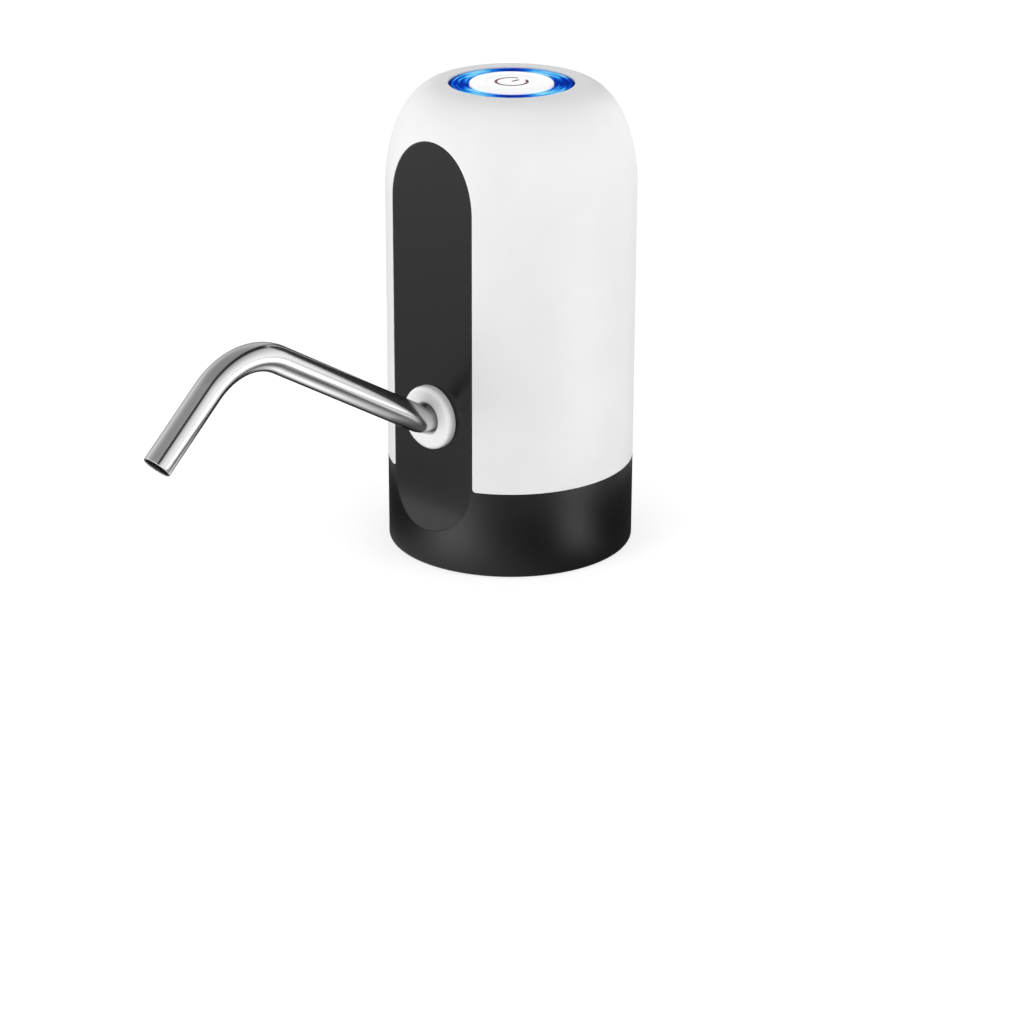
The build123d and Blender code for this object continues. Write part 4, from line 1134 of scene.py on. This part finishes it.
@dataclass
class BlackBase:
    """The black base: foot, band, the curve that leads out to the band, and the tall flat panel."""

    outline: Outline  # the housing's shared outline
    wall: float = 2.0 * MM  # thickness of the band
    plate: float = 1.6 * MM  # thickness of the panel
    gap: float = 0.05 * MM  # how far the panel's edge lies inside the housing's own surface
    foot: float = 0.8 * MM  # rounding of the foot's outer edge
    bore_edge: float = 0.3 * MM  # rounding of the foot's inner edge
    flange: float = 2.2 * MM  # thickness of the flange under the band
    bore: float = 29.85 * MM  # radius of the hole for the neck's socket
    crease: float = 0.13 * MM  # set-back of the soft edge between the curve and the band
    edge_depth: float = 1.5  # depth of the panel's rounded edge, as a multiple of that set-back
    outlet: RoundHole = RoundHole(6.1 * MM)  # hole for the spout's plug in the panel
    hole_edge: float = 0.2 * MM  # rounding of the hole's edge
    columns: int = 32  # columns across the front
    corner_columns: int = 2  # columns of the band's top that fan out from the panel's back corner
    # Rows round each edge of the foot, across its underside, and up the band.
    foot_rows: tuple[int, int, int] = (8, 6, 9)
    inner_rows: int = 5  # rows up the band's inside to the curve
    curve_rows: int = 26  # rows up the curve, from its lowest point to the seam
    # Rows of the panel up to the flat, up to the hole, beside it, up to the shoulder, and over.
    rises: tuple[int, ...] = (3, 5, 16, 24, 26)

    def swept_rows(self, reach: float) -> Array:
        """Heights from the lowest point of the curve, where it reaches a distance, up to the seam."""
        return dense_at_start(self.outline.face_height(reach), self.outline.seam, self.curve_rows)

    def swept_edge(self, radius: float) -> Array:
        """Where the curve meets an upright cylinder, on the right of the front.

        Args:
            radius: The cylinder's radius.

        Returns:
            Points of shape (n, 3), the lowest first.
        """
        z = self.swept_rows(radius)
        y = self.outline.face(z)
        edge = spot(half_width(radius, y), y, z)
        edge[0, 0] = 0.0
        return edge

    def cut_wall(self, z: Array, radius: float, setback: float) -> Array:
        """An upright wall, cut open at the front by a face behind the curve.

        Args:
            z: Height of each row, the lowest at the face's foot.
            radius: The wall's radius.
            setback: How far behind the curve the face lies.

        Returns:
            Points of shape (rows, columns + 1, 3).
        """
        angle = np.arccos(np.clip(-(self.outline.face(z) + setback) / radius, -1, 1))
        angle[0] = 0.0
        return round_wall(z, radius, self.outline.columns, angle)

    def panel_rows(self, apex: float) -> Array:
        """Heights from the seam to the tip of the arch, with lines at both ends of the hole's block.

        Args:
            apex: Height of the tip.

        Returns:
            The heights.
        """
        low, high = self.outlet.height - self.outlet.block, self.outlet.height + self.outlet.block
        spring = self.outline.spring
        stations = (self.outline.seam, self.outline.sweep_start, low, high, spring)
        return lines(even_runs(stations, self.rises[:-1]), dense_at_stop(spring, apex, self.rises[-1]))

    def panel_edge(self, inset: float) -> Array:
        """The panel's edge on the right, where the front meets a surface inside the housing.

        Args:
            inset: How far inside the housing's own that surface lies.

        Returns:
            Points of shape (n, 3), the lowest first.
        """
        out = self.outline
        z = self.panel_rows(out.wall_height(out.front, inset, lowered=False))
        y = out.face(z)
        edge = spot(half_width(out.wall(z, inset, lowered=False), y), y, z)
        edge[-1, 0] = 0.0
        return edge

    def tunnel(self, counts: tuple[int, int]) -> list[Sheet]:
        """The hole's rounded edge and its wall, from the panel's front to its back.

        Args:
            counts: Faces across and up the block round the hole.

        Returns:
            The two sheets.
        """
        front, circle = -self.outline.front, self.outlet.circle
        last = circle(counts, front + self.hole_edge)
        edge = soft_corner(circle(counts, front, self.hole_edge), circle(counts, front), last)
        wall = np.stack([last, circle(counts, front + self.plate)])
        return [Sheet(edge.swapaxes(0, 1), wrap=True), Sheet(wall, wrap=True)]

    def band(self) -> tuple[list[Sheet], Array, Array]:
        """The foot and the band, open where the curve cuts into it, with the soft edge between them.

        Returns:
            The sheets, the band's top points, and the soft edge's top points on the right.
        """
        out = self.outline
        round_rows, under_rows, wall_rows = self.foot_rows
        top = out.face_height(out.radius + self.crease)
        foot = rounded([(self.bore, self.flange), (self.bore, 0.0), (out.radius, 0.0), (out.radius, top)],
                       {1: self.bore_edge, 2: self.foot}, round_rows)[:-1]
        under = round_rows + 2  # the first corner and the points of the rounding after it
        flat = spaced(foot[under - 1, 0], foot[under, 0], under_rows)[1:-1, None] * np.array([1.0, 0.0])
        wall = np.stack(np.broadcast_arrays(out.radius, spaced(self.foot, top, wall_rows)[1:]), 1)
        closed = np.concatenate([foot[:under], flat, foot[under:], wall])
        side = self.cut_wall(self.swept_rows(out.radius + self.crease), out.radius, self.crease)
        last = self.swept_edge(out.radius - self.crease)
        strip = soft_corner(side[:, 0], self.swept_edge(out.radius), last)
        sheets = [Sheet(round_wall(closed[:, 1], closed[:, 0], out.columns)), Sheet(side),
                  *both_sides(strip, True)]
        return sheets, side[-1], strip[-1]

    def front(self) -> tuple[list[Sheet], Array]:
        """The swept curve and the flat panel in front, with the panel's rounded edge and side.

        Returns:
            The sheets, and the edge's points on the right at the seam, from the face to the back.
        """
        out = self.outline
        upper = self.panel_edge(self.crease)
        edge = np.concatenate([self.swept_edge(out.radius - self.crease), upper[1:]])
        face = spot(edge[:, 0, None] * spaced(-1.0, 1.0, self.columns), edge[:, 1, None], edge[:, 2, None])
        pierced, counts = self.outlet.pierced(face, self.hole_edge)
        corner = self.panel_edge(self.gap)
        strip = soft_corner(upper, corner, behind(corner, self.edge_depth * self.crease))
        back = behind(corner, self.plate)
        sheets = [*pierced, *self.tunnel(counts), *both_sides(strip),
                  *both_sides(np.stack([strip[:, -1], back], 1))]
        return sheets, np.concatenate([strip[0], back[:1]])

    def back(self) -> tuple[list[Sheet], Array]:
        """The inner surfaces: the band's inside, the flange's top and the panel's back.

        Returns:
            The sheets, and the band's inner points at the seam.
        """
        out = self.outline
        radius = out.radius - self.wall
        start = out.face_height(radius + self.plate)
        low = round_wall(spaced(self.flange, start, self.inner_rows), radius, out.columns)
        z = dense_at_start(start, out.seam, self.curve_rows)
        side = self.cut_wall(z, radius, self.plate)
        share = spaced(-1.0, 1.0, self.columns)
        swept = spot(side[:, 0, 0, None] * share, (out.face(z) + self.plate)[:, None], z[:, None])
        outer_x, panel_y, panel_z = self.panel_edge(self.gap).T
        inner_x = outer_x * side[-1, 0, 0] / outer_x[0]
        across = np.concatenate([-outer_x[:, None], inner_x[:, None] * share, outer_x[:, None]], 1)
        plate = spot(across, panel_y[:, None] + self.plate, panel_z[:, None])
        pierced, _ = self.outlet.pierced(plate, flip=True, margin=1)
        ledge = round_wall(self.flange, np.array([self.bore, radius]), out.columns)
        walls = [Sheet(points, flip=True) for points in (low, side, swept, ledge)]
        return walls[:-1] + pierced + walls[-1:], side[-1]

    def build(self) -> None:
        """Makes the base and dresses it."""
        band, top, soft_edge = self.band()
        front, panel_edge = self.front()
        inner, inner_top = self.back()
        skip = self.corner_columns
        first = np.concatenate([soft_edge[::-1], top[1:skip + 1], inner_top[skip::-1]])
        corner = np.broadcast_to(panel_edge[-1], (len(first) - len(soft_edge), 3))
        second = np.concatenate([panel_edge[:-1], corner])
        rim = np.stack([top, inner_top])[:, skip:-skip]
        piece = Piece("black_base", Body.HOUSING, "black_shell", ("base_housing",), crease=28.0)
        piece.build(BLACK_SHELL.build(), *band, *front, *inner, Sheet(rim),
                    *both_sides(np.stack([first, second])))


@dataclass
class Collar:
    """The white collar with its plug, turned about the spout's axis."""

    height: float = OUTLET_HEIGHT  # height of the spout's axis
    front: float = FRONT  # distance of the panel from the housing's axis
    radius: float = 9.3 * MM  # radius of the collar
    depth: float = 3.0 * MM  # how far the collar stands in front of the panel
    rounding: float = 1.5 * MM  # rounding of its outer edge
    clearance: float = 0.05 * MM  # gap between the collar's back and the panel
    bore: float = 4.04 * MM  # radius of the hole that the tube turns in
    flare: float = 0.85 * MM  # growth of the hole's radius at its mouth
    flare_depth: float = 1.5 * MM  # depth of that flare
    seat: float = 3.5 * MM  # radius of the narrow part behind the tube's end
    seat_depth: float = 1.0 * MM  # length of that narrow part
    plug: float = 6.0 * MM  # radius of the plug
    plug_length: float = 12.0 * MM  # length of the plug behind the panel
    groove: float = 4.8 * MM  # radius of the floor of the seals' grooves
    groove_width: float = 1.5 * MM  # width of a groove
    groove_shares: Pair = (0.42, 0.76)  # middles of the grooves as shares of the plug's length
    # Roundings of the hole's mouth, the plug's end and the collar's back edge.
    edges: tuple[float, ...] = (0.35 * MM, 0.4 * MM, 0.2 * MM)
    round_steps: int = 10  # steps round each rounding
    columns: int = 160  # columns round the collar

    def outline(self) -> Array:
        """The collar's outline, from the mouth of its hole round to its face.

        Returns:
            The (radius, y) points, of shape (n, 2).
        """
        back, front = -self.front - self.clearance, -self.front - self.depth
        end = -self.front + self.plug_length
        stop = end - self.seat_depth
        points = [(self.bore + self.flare, front), (self.bore, front + self.flare_depth), (self.bore, stop),
                  (self.seat, stop), (self.seat, end), (self.plug, end)]
        plug_end = len(points) - 1
        for share in reversed(self.groove_shares):
            middle = back + share * self.plug_length
            half = self.groove_width / 2
            points += [(self.plug, middle + half), (self.groove, middle + half),
                       (self.groove, middle - half), (self.plug, middle - half)]
        points += [(self.plug, back), (self.radius, back), (self.radius, front)]
        last = len(points) - 1
        mouth, tail, rear = self.edges
        return rounded(points, {0: mouth, plug_end: tail, last - 1: rear, last: self.rounding},
                       self.round_steps)

    def build(self) -> None:
        """Makes the collar and dresses it."""
        body = turned(self.outline()[::-1], Axis.FORWARD, self.columns, self.height)
        piece = Piece("collar", Body.PLUG, "white_plug", ("spout_collar",), crease=40.0)
        piece.build(WHITE_PLUG.build(), body)


@dataclass
class Spout:
    """The bent steel tube: straight runs joined by arcs, carried with its round wall."""

    height: float = OUTLET_HEIGHT  # height of the axis that it turns about
    start: float = 21.55 * MM  # distance of its inner end from the housing's axis
    heel: float = 37.0 * MM  # distance at which it turns up
    rise: float = 30.5  # angle of the long leg above level, in degrees
    rise_length: float = 78.9 * MM  # length of the long leg between the two corners
    drop: float = 41.3  # angle of the last leg below level, in degrees
    drop_length: float = 40.6 * MM  # length of the last leg from its corner
    bends: Pair = (9.0 * MM, 22.0 * MM)  # radii of the two bends
    radius: float = 4.0 * MM  # outer radius of the tube
    wall: float = 0.5 * MM  # thickness of its wall
    edge: float = 0.12 * MM  # rounding of the cut end
    edge_steps: int = 5  # steps round that rounding
    columns: int = 96  # columns round the tube
    spacing: float = 1.5 * MM  # distance between the rings of a straight run
    fewest_rings: int = 2  # fewest rings of a straight run before a bend
    bend_rings: int = 40  # rings round a bend
    last_rings: int = 24  # rings down the last leg

    def corners(self) -> Array:
        """The route's two ends and its two corners.

        Returns:
            The (distance in front, height) points, of shape (4, 2).
        """
        up, down = radians(self.rise), radians(self.drop)
        legs = [(self.start, self.height), (self.heel - self.start, 0.0),
                (self.rise_length * cos(up), self.rise_length * sin(up)),
                (self.drop_length * cos(down), -self.drop_length * sin(down))]
        return np.cumsum(legs, axis=0)

    def route(self) -> tuple[Array, Array]:
        """Centre points and directions along the tube.

        A bend of radius r between directions d and e takes off r tan(turn / 2) before the corner, and
        its points are centre + r (n cos a + d sin a), with n the way from the centre to its start.

        Returns:
            The points and the unit directions, both of shape (n, 2).
        """
        corners = self.corners()
        ways = np.diff(corners, axis=0)
        ways = ways / np.linalg.norm(ways, axis=1)[:, None]
        points, directions = [corners[:1]], [ways[:1]]
        for corner, radius, before, after in zip(corners[1:], self.bends, ways, ways[1:]):
            last = points[-1][-1]
            turn = acos(float(before @ after))
            begin = corner - before * radius * np.tan(turn / 2)
            side = np.array([-before[1], before[0]])
            side = side * np.sign(side @ after)
            rings = int(np.linalg.norm(begin - last) / self.spacing)
            run = steps(max(self.fewest_rings, rings))[1:, None]
            angle = spaced(0.0, turn, self.bend_rings)[1:, None]
            points += [last + (begin - last) * run,
                       begin + side * radius * (1 - np.cos(angle)) + before * radius * np.sin(angle)]
            directions += [np.broadcast_to(before, (len(run), 2)),
                           before * np.cos(angle) + side * np.sin(angle)]
        last, run = points[-1][-1], steps(self.last_rings)[1:, None]
        points.append(last + (corners[-1] - last) * run)
        directions.append(np.broadcast_to(ways[-1], (len(run), 2)))
        return np.concatenate(points), np.concatenate(directions)

    def build(self) -> None:
        """Makes the tube and dresses it.

        The wall's outline (r, s), with s the way past the cut end, is carried with the route: a point
        lies at centre + s direction + r (across cos a + level sin a).
        """
        centres, ways = self.route()
        inner = self.radius - self.wall
        lip = rounded([(self.radius, -MM), (self.radius, 0.0), (inner, 0.0), (inner, -MM)],
                      {1: self.edge, 2: self.edge}, self.edge_steps)[1:-1]
        end = len(centres) - 1
        index = np.concatenate([np.arange(end), np.full(len(lip), end), np.arange(end)[::-1], [0]])
        radius = np.concatenate([np.full(end, self.radius), lip[:, 0], np.full(end, inner), [self.radius]])
        past = np.concatenate([np.zeros(end), lip[:, 1], np.zeros(end + 1)])
        middle = centres[index] + past[:, None] * ways[index]
        turn = np.arange(self.columns + 1) * 2 * pi / self.columns
        ring = radius[:, None] * np.cos(turn)
        ahead = middle[:, 0, None] - ring * ways[index, 1][:, None]
        up = middle[:, 1, None] + ring * ways[index, 0][:, None]
        run = travelled(centres)[index] + past
        uv = np.stack(np.broadcast_arrays(run[:, None], turn * self.radius), -1)
        tube = Sheet(spot(radius[:, None] * np.sin(turn), -ahead, up), flip=True, uv=uv)
        piece = Piece("steel_spout", Body.SPOUT, "polished_steel", ("spout_tube",), crease=40.0)
        piece.build(POLISHED_STEEL.build(), tube)


@dataclass
class LightRing:
    """The clear ring round the button, with its crowned top, flange and skirt."""

    top: float = 136.3 * MM  # height of its top
    outer: float = 17.95 * MM  # outer radius of the top
    inner: float = 12.25 * MM  # radius of the hole for the button
    flange: float = 19.55 * MM  # radius of the flange under the dome
    flange_heights: Pair = (132.95 * MM, 134.75 * MM)  # lower and upper height of the flange
    skirt: float = 15.55 * MM  # inner radius of the skirt
    step: float = 133.0 * MM  # height of the step over the button's flange
    foot: float = 123.2 * MM  # height of the skirt's foot
    groove: float = 16.4 * MM  # radius of the fine groove in the top
    groove_depth: float = 0.25 * MM  # depth of that groove
    groove_half: float = 0.3 * MM  # half width of that groove
    falls: Pair = (0.1 * MM, 0.15 * MM)  # how far the top's outer and inner edge lie under its height
    # Roundings of the outer edge, the groove's edges, its floor, and the inner edge.
    edges: tuple[float, ...] = (0.6 * MM, 0.12 * MM, 0.08 * MM, 0.4 * MM)
    columns: int = 240  # columns round the ring

    def outline(self) -> Array:
        """The ring's outline, with a fine groove near its outer edge.

        Returns:
            The (radius, height) points, of shape (n, 2).
        """
        low, high = self.flange_heights
        under = [(self.skirt, self.foot), (self.outer, self.foot), (self.outer, low), (self.flange, low),
                 (self.flange, high), (self.outer, high)]
        over = [(self.outer, self.top - self.falls[0]), (self.groove + self.groove_half, self.top),
                (self.groove, self.top - self.groove_depth), (self.groove - self.groove_half, self.top),
                (self.inner, self.top - self.falls[1])]
        rim, lip, floor, hole = self.edges
        radii = {len(under) + place: radius for place, radius in enumerate((rim, lip, floor, lip, hole))}
        return rounded(under + over + [(self.inner, self.step), (self.skirt, self.step)], radii)

    def build(self) -> None:
        """Makes the ring and dresses it."""
        body = turned(self.outline(), Axis.UPRIGHT, self.columns)
        piece = Piece("light_ring_lit", Body.HOUSING, "clear_ring", ("light_ring",), crease=45.0)
        piece.build(GlowingAcrylic().build(), body)


@dataclass
class Button:
    """The white button with its shallow dish, and the power sign printed in it."""

    radius: float = 12.0 * MM  # radius of the button
    top: float = 137.0 * MM  # height of its crown
    crown: float = 0.3 * MM  # how far the crown stands above its rim
    crown_fall: float = 0.05 * MM  # how far the crown falls on the way out to its slope
    wall: float = 1.3 * MM  # thickness of its wall and roof
    flange: float = 13.1 * MM  # radius of the stop flange
    flange_heights: Pair = (131.55 * MM, 132.95 * MM)  # lower and upper height of the flange
    stem: float = 2.4 * MM  # radius of the stem over the switch
    stem_foot: float = 127.75 * MM  # height of the stem's foot
    dish: float = 6.9 * MM  # radius of the dish's floor
    dish_slope: float = 0.6 * MM  # width of the slope round it
    dish_depth: float = 0.25 * MM  # depth of the dish
    crown_width: float = 3.0  # width of the highest part round the dish, as a multiple of that slope's
    # Roundings of the stem's foot, the flange, the rim, and the dish's edge and floor.
    edges: tuple[float, ...] = (0.2 * MM, 0.15 * MM, 0.5 * MM, 0.4 * MM, 0.3 * MM)
    columns: int = 160  # columns round the button
    sign: float = 4.45 * MM  # radius of the power sign's arc
    stroke: float = 0.42 * MM  # half width of its strokes
    print_height: float = 0.03 * MM  # height of the print
    print_sides: int = 12  # faces round a stroke
    gap: float = 20.0  # half angle of the arc's gap, in degrees
    arc_steps: int = 120  # steps along the arc
    tick: Pair = (0.2 * MM, 2.9 * MM)  # inner and outer radius of its upright stroke
    tick_steps: int = 8  # steps along that stroke

    def outline(self) -> Array:
        """The button's outline, from the stem's foot round to the dish.

        Returns:
            The (radius, height) points, of shape (n, 2).
        """
        low, high = self.flange_heights
        rim = self.top - self.crown
        roof, inner = rim - self.wall, self.radius - self.wall
        floor = self.top - self.dish_depth
        slope, outside = self.dish + self.dish_slope, self.dish + self.crown_width * self.dish_slope
        points = [(0.0, self.stem_foot), (self.stem, self.stem_foot), (self.stem, roof), (inner, roof),
                  (inner, low), (self.flange, low), (self.flange, high), (self.radius, high),
                  (self.radius, rim), (outside, self.top - self.crown_fall), (slope, self.top),
                  (self.dish, floor), (self.dish / 2, floor), (0.0, floor)]
        foot, stop, brim, lip, bottom = self.edges
        return rounded(points, {1: foot, 5: stop, 6: stop, 8: brim, 10: lip, 11: bottom})

    def stroke_sheet(self, line: Array) -> Sheet:
        """A flat printed stroke along a line of (x, y) points, closed with rounded edges.

        The stroke's section is the outline of an ellipse that lies half in the dish's floor, carried
        square to the line.

        Args:
            line: The line's points, of shape (n, 2).

        Returns:
            The closed sheet.
        """
        way = np.gradient(line, axis=0)
        way = way / np.linalg.norm(way, axis=1)[:, None]
        side = np.stack([-way[:, 1], way[:, 0]], 1)
        turn = np.arange(self.print_sides) * 2 * pi / self.print_sides
        line, side = (np.concatenate([run[:1], run, run[-1:]]) for run in (line, side))
        taper = np.pad(np.ones(len(line) - 2), 1)[:, None]
        half = taper * self.stroke * np.cos(turn)
        z = self.top - self.dish_depth + taper * self.print_height * np.sin(turn)
        return Sheet(spot(line[:, 0, None] + side[:, 0, None] * half,
                          line[:, 1, None] + side[:, 1, None] * half, z), wrap=True)

    def build(self) -> None:
        """Makes the button and its sign, and dresses them."""
        body = turned(self.outline(), Axis.UPRIGHT, self.columns, wrap=False)
        piece = Piece("button", Body.BUTTON, "white_button", ("button_cap",), crease=40.0)
        piece.build(WHITE_BUTTON.build(), body)
        angle = spaced(radians(90 + self.gap), radians(450 - self.gap), self.arc_steps)
        arc = self.sign * np.stack([np.cos(angle), np.sin(angle)], 1)
        tick = np.stack([np.zeros(self.tick_steps + 1), spaced(*self.tick, self.tick_steps)], 1)
        sign = Piece("power_sign", Body.BUTTON, "white_button")
        sign.build(SIGN_INK.build(), self.stroke_sheet(arc), self.stroke_sheet(tick))


@dataclass(frozen=True)
class InnerParts:
    """The frame's own nodes that stay in view or inside, each with its finish."""

    finishes: dict[str, Finish]

    def build(self) -> None:
        """Gives every named node its material."""
        for name, finish in self.finishes.items():
            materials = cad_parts[name].data.materials
            materials.clear()
            materials.append(finish.build())
            log.info("%s: finish %s", name, finish.name)


# The studio


@dataclass(frozen=True)
class SoftBox:
    """A large soft lamp that faces a point and leaves no hard glint on gloss and metal."""

    name: str  # the lamp's name
    place: Place  # where it stands
    power: float  # its power in watts
    aim: Place = (0.0, 0.0, 0.07)  # the point that it faces
    size: Pair = (0.8, 0.46)  # its width and height

    def build(self) -> None:
        """Adds the lamp."""
        lamp = bpy.data.lights.new(self.name, "AREA")
        lamp.shape = "RECTANGLE"
        lamp.size, lamp.size_y = self.size
        lamp.energy = self.power
        thing = added(self.name, lamp)
        thing.visible_glossy = False
        thing.location = self.place
        thing.rotation_euler = (Vector(self.aim) - Vector(self.place)).to_track_quat("-Z", "Y").to_euler()


@dataclass(frozen=True)
class PhotoCamera:
    """The camera at the photograph's place, found from the round edges of the pump."""

    azimuth: float = 43.2  # direction of the camera from the front, in degrees towards +X
    distance: float = 0.8699  # level distance from the axis
    height: float = 0.3604  # height above the underside
    pitch: float = 22.178  # how far it looks down, in degrees
    yaw: float = 0.033  # how far it looks past the axis to its right, in degrees
    roll: float = 0.186  # how far its right side is raised, in degrees
    lens: float = 111.07  # focal length in millimetres
    sensor: float = 36.0  # width of its sensor in millimetres
    clip: Pair = (0.01, 100.0)  # nearest and farthest distance that it sees

    def build(self) -> None:
        """Adds the camera and makes it the scene's."""
        around, down, tilt = radians(self.azimuth), radians(self.pitch), radians(self.roll)
        look = around - radians(self.yaw)
        ahead = Vector((-sin(look) * cos(down), cos(look) * cos(down), -sin(down)))
        right = Vector((cos(look), sin(look), 0.0))
        up = right.cross(ahead)
        right, up = right * cos(tilt) + up * sin(tilt), up * cos(tilt) - right * sin(tilt)
        data = bpy.data.cameras.new("photo_camera")
        data.lens, data.sensor_width = self.lens, self.sensor
        data.clip_start, data.clip_end = self.clip
        thing = added("photo_camera", data)
        place = (self.distance * sin(around), -self.distance * cos(around), self.height)
        turn = Matrix((right, up, -ahead)).transposed().to_4x4()
        thing.matrix_world = Matrix.Translation(place) @ turn
        bpy.context.scene.camera = thing


@dataclass(frozen=True)
class Studio:
    """White surroundings, a pale floor and soft lamps."""

    ambient: float = 0.67  # strength of the surroundings as light on matt surfaces
    horizon: float = 1.35  # brightness at the horizon of what gloss and metal reflect
    zenith: float = 0.35  # its brightness overhead
    fade: Pair = (0.05, 0.98)  # heights of the view's direction between which that brightness is reached
    # Direction square to the narrow dark flag that gloss and metal reflect.
    flag: Place = (-0.758, -0.431, 0.490)
    # Where the flag's soft edge starts and ends, as a sine of the angle from it.
    flag_edges: Pair = (0.08, 0.22)
    floor_size: float = 12.0  # side of the floor
    # The soft lamps.
    boxes: tuple[SoftBox, ...] = (
        SoftBox("left_box", (-0.22, -1.1, 0.25), 7.3),
        SoftBox("right_box", (1.03, 0.39, 0.25), 6.3),
    )

    def surroundings(self) -> None:
        """Makes the world: white to the camera, softer overhead and flagged for gloss, dimmer as light."""
        world = bpy.data.worlds.new("white_surroundings")
        world.use_nodes = True
        bpy.context.scene.world = world
        tree = Tree(world)
        way = tree.node("TexCoord").outputs["Generated"]
        across = tree.node("VectorMath", operation="DOT_PRODUCT")
        tree.feed(across.inputs[0], way)
        tree.feed(across.inputs[1], self.flag)
        dark = tree.ease(tree.maths("ABSOLUTE", across.outputs["Value"]), self.flag_edges)
        overhead = tree.ease(tree.split(way)[2], self.fade, (self.horizon, self.zenith))
        seen, shiny = tree.shiny_rays()
        gloss = tree.node("Mix", Factor=shiny, A=self.ambient, B=tree.times(overhead, dark))
        level = tree.node("Mix", Factor=seen, A=gloss.outputs["Result"], B=1.0)
        tree.fill(world.node_tree.nodes["Background"], Color=WHITE, Strength=level.outputs["Result"])

    def floor(self) -> None:
        """Adds the floor under the pump."""
        half, level = self.floor_size / 2, CAD_BOX[0].z
        mesh = bpy.data.meshes.new("floor")
        mesh.from_pydata([(x * half, y * half, level) for x, y in ((-1, -1), (1, -1), (1, 1), (-1, 1))],
                         [], [(0, 1, 2, 3)])
        mesh.materials.append(StudioFloor().build())
        added("floor", mesh)

    def build(self) -> None:
        """Sets up the whole studio."""
        bpy.context.scene.view_settings.view_transform = "Standard"
        self.surroundings()
        self.floor()
        for box in self.boxes:
            box.build()


def main() -> None:
    """Builds the camera, the studio and every piece of the pump, in order."""
    logging.basicConfig(level=logging.INFO, format="%(name)s: %(message)s")
    outline = Outline.from_frame()
    for part in (PhotoCamera(), Studio(), WhiteShell(outline), BlackBase(outline), Collar(), Spout(),
                 LightRing(), Button(), InnerParts(NODE_FINISHES)):
        log.info("building %s", type(part).__name__)
        part.build()


if __name__ == "__main__":
    main()
